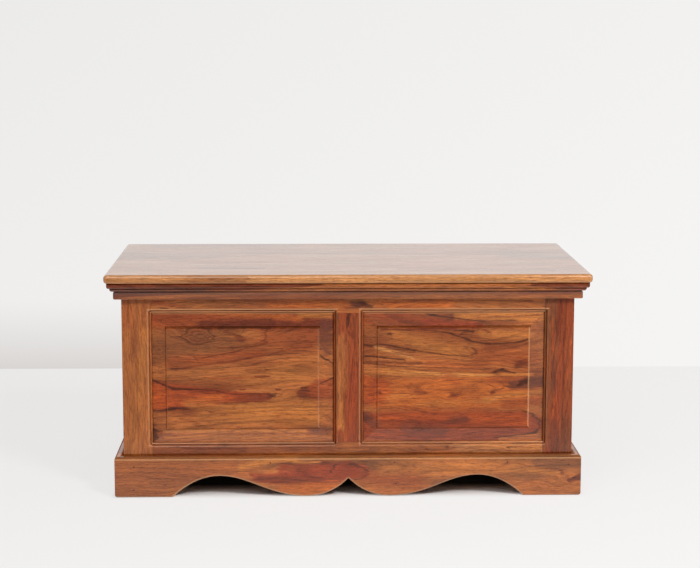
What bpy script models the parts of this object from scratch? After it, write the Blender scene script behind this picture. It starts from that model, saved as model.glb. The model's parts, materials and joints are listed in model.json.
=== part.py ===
"""Framed and panelled blanket chest with a hinged lid, in metres, +Z up, front towards -Y.

The origin is on the floor, under the middle of the chest's whole box. Four posts carry mortised rails, and
each opening between them holds a panel in a groove. A mitred cornice and a mitred, scalloped plinth are
planted on the front and the two ends. The lid turns on two butt hinges at the back, and two slotted stays
hold it open: each stay's arm turns on a bracket under the lid and slides over a stud inside the chest's end.
"""
import math

import bmesh
import bpy
from mathutils import Matrix, Vector

# Fits
CLEARANCE = 0.0003          # between two pieces that touch, seat or turn in one another
CUT_OVERRUN = 0.0050        # how far a cutter passes through the face that it opens

# Carcase, outside the mouldings
CARCASE_WIDTH = 1.0274
CARCASE_DEPTH = 0.5225
CARCASE_HEIGHT = 0.4952

# Posts and rails
POST_WIDTH = 0.0668
POST_DEPTH = 0.0550
POST_ROUND = 0.0020
RAIL_THICK = 0.0240
TOP_RAIL_HEIGHT = 0.0716
BOTTOM_RAIL_HEIGHT = 0.0648
BOTTOM_RAIL_LIFT = 0.0580   # floor to the underside of the bottom rails
MUNTIN_WIDTH = 0.0678

# Joints of the frame
GROOVE_SETBACK = 0.0095     # from the frame's face to the groove that holds the panel
GROOVE_WIDTH = 0.0076
GROOVE_DEPTH = 0.0100
TENON_THICK = 0.0080
TENON_LENGTH = 0.0300
TENON_SHOULDER = 0.0120     # height of the shoulder above and below a tenon
MUNTIN_TENON_LENGTH = 0.0250

# Moulded edge round the openings: two beads with a narrow groove between them
OUTER_BEAD = 0.0042
INNER_BEAD = 0.0030
BEAD_GROOVE_WIDTH = 0.0022
BEAD_GROOVE_DEPTH = 0.0014
BEAD_QUIRK = 0.0008
MOULDING_LIP = 0.0006

# Panels
PANEL_SETBACK = 0.0020      # from the frame's face to the raised field
PANEL_PLAY = 0.0015         # room for the panel to swell in its groove
FIELD_INSET = 0.0353        # from the sight line of the opening to the field
FIELD_STEP_WIDTH = 0.0034   # of the small step down from the field to the bevel
FIELD_STEP_HEIGHT = 0.0020

# Cornice
CORNICE_OUT = 0.0297
CORNICE_FILLET = 0.0065
CORNICE_FILLET_ROUND = 0.0050
CORNICE_QUIRK = 0.0011
CORNICE_OVOLO = 0.0066
CORNICE_NECK = 0.0018
CORNICE_SHOULDER = 0.0016
CORNICE_FASCIA = 0.0117
CORNICE_FASCIA_OUT = 0.0162
CORNICE_FOOT_ROUND = 0.0036

# Plinth and its scalloped lower edge
PLINTH_THICK = 0.0193
PLINTH_HEIGHT = 0.0947
PLINTH_TOP_ROUND = 0.0060
PLINTH_EDGE_ROUND = 0.0072
FOOT_WIDTH = 0.1318         # from the corner to the start of the arch
ARCH_RISE = 0.0490
ARCH_RUN = 0.1060           # from the foot to the crown of a front arch
END_RUN_SHARE = 0.3806      # from the foot to the crown of an end's arch, of the arch's width
LOBE_MIDDLE = 0.0950        # from the middle of the front to the lowest point of a lobe
LOBE_LIFT = 0.0010          # the lobes hang just clear of the floor
CUSP_HEIGHT = 0.0420
ARCH_FOOT_SHARES = ((0.24, 0.49), (0.58, 1.00))     # handles of the rise, as shares of run and rise
ARCH_FALL_SHARES = (0.35, 0.45)                     # handles of the fall, as shares of its run
CUSP_SHARES = ((0.45, 0.00), (0.75, 0.43))          # handles of the cusp, as shares of run and height

# Lid
LID_THICK = 0.0200
LID_OVERHANG = 0.0363
LID_EDGE_ROUND = 0.0078
LID_CORNER_ROUND = 0.0095
LID_OPEN_ANGLE = math.radians(95)
BATTEN_WIDTH = 0.0480
BATTEN_THICK = 0.0180
BATTEN_PLACE_SHARE = 0.35   # from the middle to an outer batten, of the carcase width
BATTEN_PLAY = 0.0040        # from a batten's end to the rail
BATTEN_CHAMFER = 0.0050

# Floor of the chest
CLEAT_SIZE = 0.0200
BOARD_COUNT = 6
BOARD_THICK = 0.0120
BOARD_PLAY = 0.0010

# Butt hinges
HINGE_PLACE_SHARE = 0.31    # from the middle to a hinge, of the carcase width
HINGE_LENGTH = 0.0760
HINGE_LEAF_WIDTH = 0.0260   # from the pin's axis to the leaf's edge
HINGE_LEAF_THICK = 0.0018
KNUCKLE_RADIUS = 0.0045
KNUCKLE_COUNT = 5
KNUCKLE_BACK_GAP = 0.0006   # from the chest's back to the knuckles
PIN_RADIUS = 0.0022
PIN_HEAD_RADIUS = 0.0034
PIN_HEAD_LENGTH = 0.0016

# Lid stays
STAY_RADIUS = 0.1700        # from the hinge axis to the stud, and to the arm's pivot
STAY_PIVOT_DROP = 0.0110    # from the lid's underside to the pivot
STAY_STUD_DROP = 0.0400     # from the rail's top to the stud
STAY_ARM_WIDTH = 0.0160
STAY_ARM_THICK = 0.0025
STAY_SLOT_WALL = 0.0090     # metal beyond the end of the slot
STUD_COLLAR_LENGTH = 0.0060
STUD_COLLAR_RADIUS = 0.0070
STUD_SHANK_RADIUS = 0.0028
STUD_HEAD_RADIUS = 0.0060
STUD_HEAD_LENGTH = 0.0022
RIVET_RADIUS = 0.0022
RIVET_HEAD_RADIUS = 0.0042
RIVET_HEAD_LENGTH = 0.0014
BRACKET_THICK = 0.0020
BRACKET_LENGTH = 0.0420
BRACKET_FLANGE = 0.0220

# Steps of the round forms
BEAD_STEPS = 5
ROUND_STEPS = 3
CORNER_STEPS = 5
EDGE_STEPS = 6
ARCH_STEPS = 10
FALL_STEPS = 14
CUSP_STEPS = 7
ROUND_SIDES = 20
QUARTER = math.pi / 2

# Places that follow from the sizes above
HALF_WIDTH = CARCASE_WIDTH / 2
HALF_DEPTH = CARCASE_DEPTH / 2
HINGE_OUT = KNUCKLE_BACK_GAP + KNUCKLE_RADIUS
WHOLE_DEPTH = LID_OVERHANG + CARCASE_DEPTH + HINGE_OUT + KNUCKLE_RADIUS
FRONT_Y = LID_OVERHANG - WHOLE_DEPTH / 2
BACK_Y = FRONT_Y + CARCASE_DEPTH
MIDDLE_Y = FRONT_Y + HALF_DEPTH
OPENING_LOW = BOTTOM_RAIL_LIFT + BOTTOM_RAIL_HEIGHT
OPENING_HIGH = CARCASE_HEIGHT - TOP_RAIL_HEIGHT
LID_UNDERSIDE = CARCASE_HEIGHT + CLEARANCE
HINGE_AXIS = Vector((0, BACK_Y + HINGE_OUT, CARCASE_HEIGHT + CLEARANCE / 2))
TENON_SETBACK = GROOVE_SETBACK + (GROOVE_WIDTH - TENON_THICK) / 2
BOARD_TOP = BOTTOM_RAIL_LIFT + CLEAT_SIZE + CLEARANCE + BOARD_THICK

# Each wall is drawn as the front is: x along the wall, y into the chest from its outer face, z up
WALLS = {
    "front": Matrix.Translation((0, FRONT_Y, 0)),
    "back": Matrix.Translation((0, BACK_Y, 0)) @ Matrix.Rotation(math.pi, 4, "Z"),
    "right": Matrix.Translation((HALF_WIDTH, MIDDLE_Y, 0)) @ Matrix.Rotation(QUARTER, 4, "Z"),
    "left": Matrix.Translation((-HALF_WIDTH, MIDDLE_Y, 0)) @ Matrix.Rotation(-QUARTER, 4, "Z"),
}
LONG_INNER = HALF_WIDTH - POST_WIDTH        # half the distance between the posts of a long wall
END_INNER = HALF_DEPTH - POST_DEPTH         # half the distance between the posts of an end wall

# Colours, roughness and metallic value of each kind of piece
FINISHES = {
    "post": ((0.36, 0.15, 0.055), 0.38, 0.0),
    "rail": ((0.40, 0.18, 0.065), 0.38, 0.0),
    "panel": ((0.38, 0.14, 0.050), 0.36, 0.0),
    "cornice": ((0.20, 0.075, 0.035), 0.36, 0.0),
    "plinth": ((0.36, 0.16, 0.055), 0.38, 0.0),
    "lid": ((0.42, 0.20, 0.075), 0.32, 0.0),
    "inside": ((0.45, 0.26, 0.13), 0.60, 0.0),
    "brass": ((0.62, 0.44, 0.18), 0.35, 1.0),
    "steel": ((0.55, 0.54, 0.52), 0.30, 1.0),
}


def clear_scene():
    for obj in list(bpy.data.objects):
        bpy.data.objects.remove(obj, do_unlink=True)


def finish_material(name, kind):
    """A plain material for one piece, from the table of finishes."""
    colour, roughness, metallic = FINISHES[kind]
    material = bpy.data.materials.new(name)
    material.use_nodes = True
    shader = material.node_tree.nodes["Principled BSDF"]
    shader.inputs["Base Color"].default_value = (*colour, 1)
    shader.inputs["Roughness"].default_value = roughness
    shader.inputs["Metallic"].default_value = metallic
    return material


def add_object(name, bm, kind=None, matrix=None, parent=None, cutters=()):
    """Link a mesh drawn in the space of matrix, and cut it. With no kind of finish it is a cutter."""
    bmesh.ops.recalc_face_normals(bm, faces=bm.faces)
    mesh = bpy.data.meshes.new(name)
    bm.to_mesh(mesh)
    bm.free()
    obj = bpy.data.objects.new(name, mesh)
    bpy.context.scene.collection.objects.link(obj)
    placement = matrix if matrix is not None else Matrix.Identity(4)
    if parent is not None:
        obj.parent = parent
        placement = parent.matrix_basis.inverted() @ placement
    obj.matrix_basis = placement
    if kind is None:
        obj.hide_render = True
        obj.display_type = "WIRE"
    else:
        mesh.materials.append(finish_material(name, kind))
    for cutter in cutters:
        boolean(obj, cutter, "DIFFERENCE")
    return obj


def boolean(obj, other, operation):
    modifier = obj.modifiers.new(operation.title(), "BOOLEAN")
    modifier.operation = operation
    modifier.solver = "EXACT"
    modifier.object = other


def smooth_round(obj):
    """Shade a round piece smooth, with its edges kept sharp."""
    obj.data.shade_smooth()
    obj.data.set_sharp_from_angle(angle=QUARTER / 2)


def loft(bm, loops):
    """Skin closed loops of equally many points, and cap both ends."""
    rings = [[bm.verts.new(point) for point in loop] for loop in loops]
    count = len(rings[0])
    for ring, following in zip(rings, rings[1:]):
        for i in range(count):
            j = (i + 1) % count
            bm.faces.new((ring[i], ring[j], following[j], following[i]))
    bm.faces.new(rings[0])
    bm.faces.new(rings[-1])


def add_box(bm, low, high):
    loft(bm, [rectangle(low[0], high[0], low[1], high[1], z) for z in (low[2], high[2])])


def rectangle(x_low, x_high, y_low, y_high, z):
    return [(x_low, y_low, z), (x_high, y_low, z), (x_high, y_high, z), (x_low, y_high, z)]


def upright_rectangle(x_low, x_high, z_low, z_high, y):
    return [(x_low, y, z_low), (x_high, y, z_low), (x_high, y, z_high), (x_low, y, z_high)]


def crossways_rectangle(y_low, y_high, z_low, z_high, x):
    return [(x, y_low, z_low), (x, y_high, z_low), (x, y_high, z_high), (x, y_low, z_high)]


def arc(centre, radius, start, end, steps):
    """Points on an arc in a plane, both ends included."""
    points = []
    for i in range(steps + 1):
        angle = start + (end - start) * i / steps
        points.append((centre[0] + radius * math.cos(angle), centre[1] + radius * math.sin(angle)))
    return points


def bezier(start, handle_a, handle_b, end, steps):
    """Points on a cubic curve in a plane, without its last point."""
    points = []
    for i in range(steps):
        t = i / steps
        weights = ((1 - t) ** 3, 3 * t * (1 - t) ** 2, 3 * t * t * (1 - t), t ** 3)
        ends = (start, handle_a, handle_b, end)
        points.append(tuple(sum(w * p[axis] for w, p in zip(weights, ends)) for axis in (0, 1)))
    return points


def trim(bm, point, normal):
    """Cut off what lies beyond a plane, and close the cut."""
    geometry = bm.verts[:] + bm.edges[:] + bm.faces[:]
    bmesh.ops.bisect_plane(bm, geom=geometry, plane_co=point, plane_no=normal, clear_outer=True)
    rim = [edge for edge in bm.edges if edge.is_boundary]
    bmesh.ops.holes_fill(bm, edges=rim, sides=len(rim))


def turned(bm, profile, matrix):
    """Revolve a profile of (radius, height) about its axis, from pole to pole."""
    steps = range(ROUND_SIDES)
    angles = [2 * math.pi * i / ROUND_SIDES for i in steps]
    loops = [[matrix @ Vector((r * math.cos(a), r * math.sin(a), h)) for a in angles] for r, h in profile]
    loft(bm, loops)


def along_x(x, y, z):
    """Places a turned piece with its axis along +X."""
    return Matrix.Translation((x, y, z)) @ Matrix.Rotation(QUARTER, 4, "Y")


# Posts


def post_outline(side, end):
    """Plan of a post as seen from above, with its outer corner rounded. side is -1 or 1, end is too."""
    outer = Vector((side * HALF_WIDTH, end * HALF_DEPTH))
    inner = outer - Vector((side * POST_WIDTH, end * POST_DEPTH))
    centre = outer - Vector((side * POST_ROUND, end * POST_ROUND))
    quarter = arc((0, 0), POST_ROUND, 0, QUARTER, ROUND_STEPS)
    rounded = [(centre[0] + side * x, centre[1] + end * y) for x, y in quarter]
    return [(outer[0], inner[1])] + rounded + [(inner[0], outer[1]), (inner[0], inner[1])]


def make_posts(cutters):
    places = {
        "front_post_left": (-1, -1),
        "front_post_right": (1, -1),
        "back_post_left": (-1, 1),
        "back_post_right": (1, 1),
    }
    for name, (side, end) in places.items():
        bm = bmesh.new()
        outline = post_outline(side, end)
        loft(bm, [[(x, y, z) for x, y in outline] for z in (0, CARCASE_HEIGHT)])
        add_object(name, bm, "post", Matrix.Translation((0, MIDDLE_Y, 0)), cutters=cutters)


# Rails and muntins


def tenon_heights(low, high):
    return low + TENON_SHOULDER, high - TENON_SHOULDER


def rail_heights(level):
    if level == "top":
        return OPENING_HIGH, CARCASE_HEIGHT
    return BOTTOM_RAIL_LIFT, OPENING_LOW


def make_rail(wall, level, inner, cutters):
    """A rail from post to post with a tenon at each end; inner is half the distance between the posts."""
    low, high = rail_heights(level)
    tenon_low, tenon_high = tenon_heights(low, high)
    shoulder = inner - CLEARANCE
    tip = inner + TENON_LENGTH
    stations = [(-tip, True), (-shoulder, True), (-shoulder, False),
                (shoulder, False), (shoulder, True), (tip, True)]
    loops = []
    for x, is_tenon in stations:
        if is_tenon:
            back = TENON_SETBACK + TENON_THICK
            loops.append(crossways_rectangle(TENON_SETBACK, back, tenon_low, tenon_high, x))
        else:
            loops.append(crossways_rectangle(0, RAIL_THICK, low, high, x))
    bm = bmesh.new()
    loft(bm, loops)
    add_object(f"{wall}_{level}_rail", bm, "rail", WALLS[wall], cutters=cutters)


def muntin_tenon_half():
    return MUNTIN_WIDTH / 2 - TENON_SHOULDER


def make_muntin(wall, cutters):
    """The upright between the two panels of a long wall, tenoned into both rails."""
    half = MUNTIN_WIDTH / 2
    tenon_half = muntin_tenon_half()
    bottom = OPENING_LOW + CLEARANCE
    top = OPENING_HIGH - CLEARANCE
    low_tip = OPENING_LOW - MUNTIN_TENON_LENGTH
    high_tip = OPENING_HIGH + MUNTIN_TENON_LENGTH
    loops = []
    stations = [(low_tip, True), (bottom, True), (bottom, False),
                (top, False), (top, True), (high_tip, True)]
    for z, is_tenon in stations:
        if is_tenon:
            loops.append(rectangle(-tenon_half, tenon_half, TENON_SETBACK, TENON_SETBACK + TENON_THICK, z))
        else:
            loops.append(rectangle(-half, half, 0, RAIL_THICK, z))
    bm = bmesh.new()
    loft(bm, loops)
    add_object(f"{wall}_muntin", bm, "rail", WALLS[wall], cutters=cutters)


# Cutters of the frame


def openings(wall):
    """The openings of a wall as (low x, high x)."""
    if wall in ("front", "back"):
        half = MUNTIN_WIDTH / 2
        return [(-LONG_INNER, -half), (half, LONG_INNER)]
    return [(-END_INNER, END_INNER)]


def post_mortises():
    """Room in the posts for the tenons of every rail."""
    bm = bmesh.new()
    for wall, matrix in WALLS.items():
        inner = LONG_INNER if wall in ("front", "back") else END_INNER
        for level in ("top", "bottom"):
            low, high = tenon_heights(*rail_heights(level))
            for side in (-1, 1):
                ends = sorted((side * (inner - CUT_OVERRUN), side * (inner + TENON_LENGTH + CLEARANCE)))
                box = bmesh.new()
                add_box(box, (ends[0], TENON_SETBACK - CLEARANCE, low - CLEARANCE),
                        (ends[1], TENON_SETBACK + TENON_THICK + CLEARANCE, high + CLEARANCE))
                append(bm, box, matrix)
    return add_object("post_mortises", bm)


def rail_mortises():
    """Room in the long rails for the muntins' tenons."""
    bm = bmesh.new()
    half = muntin_tenon_half() + CLEARANCE
    for wall in ("front", "back"):
        for mouth, tip in ((OPENING_LOW, OPENING_LOW - MUNTIN_TENON_LENGTH),
                           (OPENING_HIGH, OPENING_HIGH + MUNTIN_TENON_LENGTH)):
            inward = 1 if mouth > tip else -1
            heights = sorted((mouth + inward * CUT_OVERRUN, tip - inward * CLEARANCE))
            box = bmesh.new()
            add_box(box, (-half, TENON_SETBACK - CLEARANCE, heights[0]),
                    (half, TENON_SETBACK + TENON_THICK + CLEARANCE, heights[1]))
            append(bm, box, WALLS[wall])
    return add_object("rail_mortises", bm)


def append(bm, other, matrix):
    """Move the mesh in other by matrix, add it to bm and free it."""
    other.transform(matrix)
    mesh = bpy.data.meshes.new("piece")
    other.to_mesh(mesh)
    other.free()
    bm.from_mesh(mesh)
    bpy.data.meshes.remove(mesh)


def panel_grooves():
    """A plate in each opening, wider than it by the groove's depth on every side."""
    bm = bmesh.new()
    for wall, matrix in WALLS.items():
        for x_low, x_high in openings(wall):
            plate = bmesh.new()
            add_box(plate, (x_low - GROOVE_DEPTH, GROOVE_SETBACK, OPENING_LOW - GROOVE_DEPTH),
                    (x_high + GROOVE_DEPTH, GROOVE_SETBACK + GROOVE_WIDTH, OPENING_HIGH + GROOVE_DEPTH))
            append(bm, plate, matrix)
    return add_object("panel_grooves", bm)


def moulding_profile():
    """The moulded edge as (distance outside the sight line, depth), from the face to the sight line."""
    inner_start = MOULDING_LIP + INNER_BEAD
    groove_edge = inner_start + BEAD_GROOVE_WIDTH
    width = groove_edge + OUTER_BEAD
    points = [(width, -CUT_OVERRUN)]
    outer_centre = BEAD_QUIRK + OUTER_BEAD
    for x, y in arc((width, -outer_centre), OUTER_BEAD, QUARTER, 2 * QUARTER, BEAD_STEPS):
        points.append((x, -y))
    groove_bottom = outer_centre + BEAD_GROOVE_DEPTH
    points += [(groove_edge, groove_bottom), (inner_start, groove_bottom)]
    inner_centre = (inner_start, -outer_centre - INNER_BEAD)
    for x, y in arc(inner_centre, INNER_BEAD, QUARTER, 2 * QUARTER, BEAD_STEPS):
        points.append((x, -y))
    points.append((-MOULDING_LIP, points[-1][1]))
    return points


def moulding_cutters():
    """The routed edge of the front and end openings, with round corners as a router leaves them."""
    bm = bmesh.new()
    for wall in ("front", "left", "right"):
        for x_low, x_high in openings(wall):
            shape = bmesh.new()
            loops = []
            for out, depth in moulding_profile():
                radius = max(out, 0) + CLEARANCE / 2
                low = (x_low - out, OPENING_LOW - out)
                high = (x_high + out, OPENING_HIGH + out)
                loops.append([(x, depth, z) for x, z in rounded_rectangle(low, high, radius)])
            loft(shape, loops)
            append(bm, shape, WALLS[wall])
    return add_object("moulding_cutters", bm)


def rounded_rectangle(low, high, radius):
    corners = [
        ((high[0] - radius, high[1] - radius), 0),
        ((low[0] + radius, high[1] - radius), QUARTER),
        ((low[0] + radius, low[1] + radius), 2 * QUARTER),
        ((high[0] - radius, low[1] + radius), 3 * QUARTER),
    ]
    points = []
    for centre, start in corners:
        points += arc(centre, radius, start, start + QUARTER, CORNER_STEPS)
    return points


# Panels


def make_panel(name, wall, x_low, x_high):
    """A panel with a raised field, a small step round the field and a bevel down to its tongue."""
    tongue = GROOVE_DEPTH - PANEL_PLAY
    tongue_front = GROOVE_SETBACK + CLEARANCE
    back = tongue_front + GROOVE_WIDTH - 2 * CLEARANCE
    levels = [
        (FIELD_INSET, PANEL_SETBACK),
        (FIELD_INSET - FIELD_STEP_WIDTH, PANEL_SETBACK + FIELD_STEP_HEIGHT),
        (CLEARANCE, tongue_front),
        (-tongue, tongue_front),
        (-tongue, back),
    ]
    loops = []
    for inset, depth in levels:
        heights = (OPENING_LOW + inset, OPENING_HIGH - inset)
        loops.append(upright_rectangle(x_low + inset, x_high - inset, *heights, depth))
    bm = bmesh.new()
    loft(bm, loops)
    add_object(name, bm, "panel", WALLS[wall])


def make_flat_panel(name, wall, x_low, x_high):
    """A plain panel of the back, as thick as its groove."""
    tongue = GROOVE_DEPTH - PANEL_PLAY
    bm = bmesh.new()
    add_box(bm, (x_low - tongue, GROOVE_SETBACK + CLEARANCE, OPENING_LOW - tongue),
            (x_high + tongue, GROOVE_SETBACK + GROOVE_WIDTH - CLEARANCE, OPENING_HIGH + tongue))
    add_object(name, bm, "inside", WALLS[wall])


def make_panels():
    left, right = openings("front")
    make_panel("front_panel_left", "front", *left)
    make_panel("front_panel_right", "front", *right)
    for wall in ("left", "right"):
        make_panel(f"{wall}_panel", wall, *openings(wall)[0])
    left, right = openings("back")
    make_flat_panel("back_panel_right", "back", *left)
    make_flat_panel("back_panel_left", "back", *right)


# Cornice


def cornice_profile():
    """Section of the cornice as (distance out from the carcase, height), from its top inner corner."""
    top = CARCASE_HEIGHT
    points = [(CLEARANCE, top), (CORNICE_OUT, top)]
    z = top - CORNICE_FILLET
    fillet_centre = (CORNICE_OUT - CORNICE_FILLET_ROUND, z)
    points += arc(fillet_centre, CORNICE_FILLET_ROUND, 0, -QUARTER, BEAD_STEPS)
    z -= CORNICE_FILLET_ROUND
    out = CORNICE_OUT - CORNICE_FILLET_ROUND - CORNICE_QUIRK
    points.append((out, z))
    z -= CORNICE_QUIRK
    points += arc((out - CORNICE_OVOLO, z), CORNICE_OVOLO, 0, -QUARTER, BEAD_STEPS)
    z -= CORNICE_OVOLO
    neck_out = CORNICE_FASCIA_OUT - CORNICE_SHOULDER
    points.append((neck_out, z))
    z -= CORNICE_NECK
    points += arc((neck_out, z - CORNICE_SHOULDER), CORNICE_SHOULDER, QUARTER, 0, ROUND_STEPS)
    z -= CORNICE_SHOULDER + CORNICE_FASCIA
    foot_centre = (CORNICE_FASCIA_OUT - CORNICE_FOOT_ROUND, z)
    points += arc(foot_centre, CORNICE_FOOT_ROUND, 0, -QUARTER, ROUND_STEPS)
    points.append((CLEARANCE, z - CORNICE_FOOT_ROUND))
    return points


def make_moulded_length(name, kind, wall, loops_at, out):
    """A planted board or moulding of one wall, mitred at each front corner and square at the back.

    loops_at(x_low, x_high) gives the loops of its loft, and out is how far it stands out.
    """
    half = HALF_WIDTH if wall == "front" else HALF_DEPTH
    mitred = out + CUT_OVERRUN
    x_low = -half - (mitred if wall in ("front", "right") else 0)
    x_high = half + (mitred if wall in ("front", "left") else 0)
    bm = bmesh.new()
    loft(bm, loops_at(x_low, x_high))
    bmesh.ops.recalc_face_normals(bm, faces=bm.faces)
    mitre = half - CLEARANCE / math.sqrt(2)
    if wall in ("front", "right"):
        trim(bm, (-mitre, 0, 0), (-1, 1, 0))
    if wall in ("front", "left"):
        trim(bm, (mitre, 0, 0), (1, 1, 0))
    return add_object(name, bm, kind, WALLS[wall])


def make_cornice():
    profile = cornice_profile()

    def loops_at(x_low, x_high):
        return [[(x, -out, z) for out, z in profile] for x in (x_low, x_high)]

    for wall in ("front", "left", "right"):
        make_moulded_length(f"cornice_{wall}", "cornice", wall, loops_at, CORNICE_OUT)


# Plinth


def rise_from_foot(foot_x, run):
    """The curve from a foot up to the crown of its arch, which lies at a run along x, with its sign."""
    handles = [(foot_x + across * run, up * ARCH_RISE) for across, up in ARCH_FOOT_SHARES]
    crown = (foot_x + run, ARCH_RISE)
    return bezier((foot_x, 0), *handles, crown, ARCH_STEPS) + [crown]


def front_apron(x_low, x_high):
    """The scalloped lower edge of the front, from left to right."""
    foot_x = HALF_WIDTH + CLEARANCE + PLINTH_THICK - FOOT_WIDTH
    crown_x = foot_x - ARCH_RUN
    fall = crown_x - LOBE_MIDDLE
    lobe = (-LOBE_MIDDLE, LOBE_LIFT)
    left = rise_from_foot(-foot_x, ARCH_RUN)[:-1]
    left += bezier((-crown_x, ARCH_RISE), (-crown_x + ARCH_FALL_SHARES[0] * fall, ARCH_RISE),
                   (lobe[0] - ARCH_FALL_SHARES[1] * fall, lobe[1]), lobe, FALL_STEPS)
    climb = CUSP_HEIGHT - LOBE_LIFT
    handles = [(lobe[0] + run * LOBE_MIDDLE, lobe[1] + rise * climb) for run, rise in CUSP_SHARES]
    left += bezier(lobe, *handles, (0, CUSP_HEIGHT), CUSP_STEPS)
    right = [(-x, z) for x, z in reversed(left)]
    return [(x_low, 0)] + left + [(0, CUSP_HEIGHT)] + right + [(x_high, 0)]


def end_apron(x_low, x_high, front_side):
    """The plain arch of an end; front_side is -1 where the front corner is at low x, else 1."""
    outer = HALF_DEPTH + CLEARANCE + PLINTH_THICK - FOOT_WIDTH
    inner = HALF_DEPTH - FOOT_WIDTH
    low_foot, high_foot = (-outer, inner) if front_side < 0 else (-inner, outer)
    run = (high_foot - low_foot) * END_RUN_SHARE
    rise = rise_from_foot(low_foot, run)
    fall = list(reversed(rise_from_foot(high_foot, -run)))
    return [(x_low, 0)] + rise + fall + [(x_high, 0)]


def offset_up(line, distance):
    """Move a line to its upper left by a distance, with mitred corners."""
    moved = []
    for i, (x, z) in enumerate(line):
        normals = []
        for a, b in ((i - 1, i), (i, i + 1)):
            if a >= 0 and b < len(line):
                run = Vector(line[b]) - Vector(line[a])
                normals.append(Vector((-run[1], run[0])).normalized())
        mean = normals[0] + normals[-1]
        mean *= distance / (1 + normals[0].dot(normals[-1])) if len(normals) > 1 else distance / 2
        moved.append((x + mean[0], z + mean[1]))
    return moved


def round_inset(radius, depth):
    """How far a rounded edge lies inside its board at a depth behind the face."""
    if depth >= radius:
        return 0
    return radius - math.sqrt(radius ** 2 - (radius - depth) ** 2)


def make_plinth():
    outer_face = PLINTH_THICK + CLEARANCE
    angles = [QUARTER * i / EDGE_STEPS for i in range(EDGE_STEPS + 1)]
    depths = [PLINTH_EDGE_ROUND * (1 - math.cos(angle)) for angle in angles] + [PLINTH_THICK]

    def loops_for(apron):
        def loops_at(x_low, x_high):
            line = apron(x_low, x_high)
            loops = []
            for depth in depths:
                top = PLINTH_HEIGHT - round_inset(PLINTH_TOP_ROUND, depth)
                outline = offset_up(line, round_inset(PLINTH_EDGE_ROUND, depth))
                outline += [(x_high, top), (x_low, top)]
                loops.append([(x, depth - outer_face, z) for x, z in outline])
            return loops
        return loops_at

    aprons = {
        "front": front_apron,
        "left": lambda x_low, x_high: end_apron(x_low, x_high, 1),
        "right": lambda x_low, x_high: end_apron(x_low, x_high, -1),
    }
    for wall, apron in aprons.items():
        make_moulded_length(f"plinth_{wall}", "plinth", wall, loops_for(apron), outer_face)


# Floor of the chest


def make_floor():
    """Cleats inside the bottom rails, and boards from front to back on them."""
    for wall in WALLS:
        half = (LONG_INNER if wall in ("front", "back") else END_INNER) - CLEARANCE
        back = RAIL_THICK + CLEARANCE
        bm = bmesh.new()
        add_box(bm, (-half, back, BOTTOM_RAIL_LIFT),
                (half, back + CLEAT_SIZE, BOTTOM_RAIL_LIFT + CLEAT_SIZE))
        add_object(f"cleat_{wall}", bm, "inside", WALLS[wall])

    bm = bmesh.new()
    for side in (-1, 1):
        for end in (-1, 1):
            xs = sorted((side * (LONG_INNER - BOARD_PLAY), side * HALF_WIDTH))
            ys = sorted((end * (END_INNER - BOARD_PLAY), end * HALF_DEPTH))
            add_box(bm, (xs[0], ys[0], 0), (xs[1], ys[1], CARCASE_HEIGHT))
    notches = add_object("post_notches", bm, matrix=Matrix.Translation((0, MIDDLE_Y, 0)))

    floor_half = HALF_WIDTH - RAIL_THICK - BOARD_PLAY
    reach = HALF_DEPTH - RAIL_THICK - BOARD_PLAY
    pitch = 2 * floor_half / BOARD_COUNT
    for i in range(BOARD_COUNT):
        low = -floor_half + i * pitch + BOARD_PLAY / 2
        high = low + pitch - BOARD_PLAY
        bm = bmesh.new()
        add_box(bm, (low, -reach, BOARD_TOP - BOARD_THICK), (high, reach, BOARD_TOP))
        placement = Matrix.Translation((0, MIDDLE_Y, 0))
        add_object(f"bottom_board_{i + 1}", bm, "inside", placement, cutters=(notches,))


# Lid, drawn from the hinge axis


def lid_outline(inset):
    """Plan of the lid from the hinge axis, drawn in by an inset at the front and both ends."""
    half = HALF_WIDTH + LID_OVERHANG - inset
    back = BACK_Y - HINGE_AXIS[1]
    front = FRONT_Y - LID_OVERHANG - HINGE_AXIS[1] + inset
    radius = LID_CORNER_ROUND - inset
    left = arc((-half + radius, front + radius), radius, 2 * QUARTER, 3 * QUARTER, CORNER_STEPS)
    right = arc((half - radius, front + radius), radius, 3 * QUARTER, 4 * QUARTER, CORNER_STEPS)
    return [(-half, back)] + left + right + [(half, back)]


def make_lid(recesses):
    """The lid's slab, with its edge rounded above and below at the front and both ends."""
    underside = LID_UNDERSIDE - HINGE_AXIS[2]
    top = underside + LID_THICK
    quarter_round = arc((0, 0), LID_EDGE_ROUND, QUARTER, 0, EDGE_STEPS)
    rounds = [(LID_EDGE_ROUND - x, LID_EDGE_ROUND - y) for x, y in quarter_round]
    levels = [(inset, underside + rise) for inset, rise in rounds]
    levels += [(inset, top - rise) for inset, rise in reversed(rounds)]
    bm = bmesh.new()
    loft(bm, [[(x, y, z) for x, y in lid_outline(inset)] for inset, z in levels])
    return add_object("lid_top", bm, "lid", Matrix.Translation(HINGE_AXIS), cutters=(recesses,))


def make_battens(lid):
    underside = LID_UNDERSIDE - HINGE_AXIS[2] - CLEARANCE
    front = FRONT_Y + RAIL_THICK + BATTEN_PLAY - HINGE_AXIS[1]
    back = BACK_Y - RAIL_THICK - BATTEN_PLAY - HINGE_AXIS[1]
    half = BATTEN_WIDTH / 2
    low = underside - BATTEN_THICK
    for name, place in (("left", -1), ("middle", 0), ("right", 1)):
        x = place * BATTEN_PLACE_SHARE * CARCASE_WIDTH
        c = BATTEN_CHAMFER
        bm = bmesh.new()
        loft(bm, [
            rectangle(x - half + c, x + half - c, front + c, back - c, low),
            rectangle(x - half, x + half, front, back, low + c),
            rectangle(x - half, x + half, front, back, underside),
        ])
        add_object(f"lid_batten_{name}", bm, "inside", Matrix.Translation(HINGE_AXIS), parent=lid)


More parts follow.
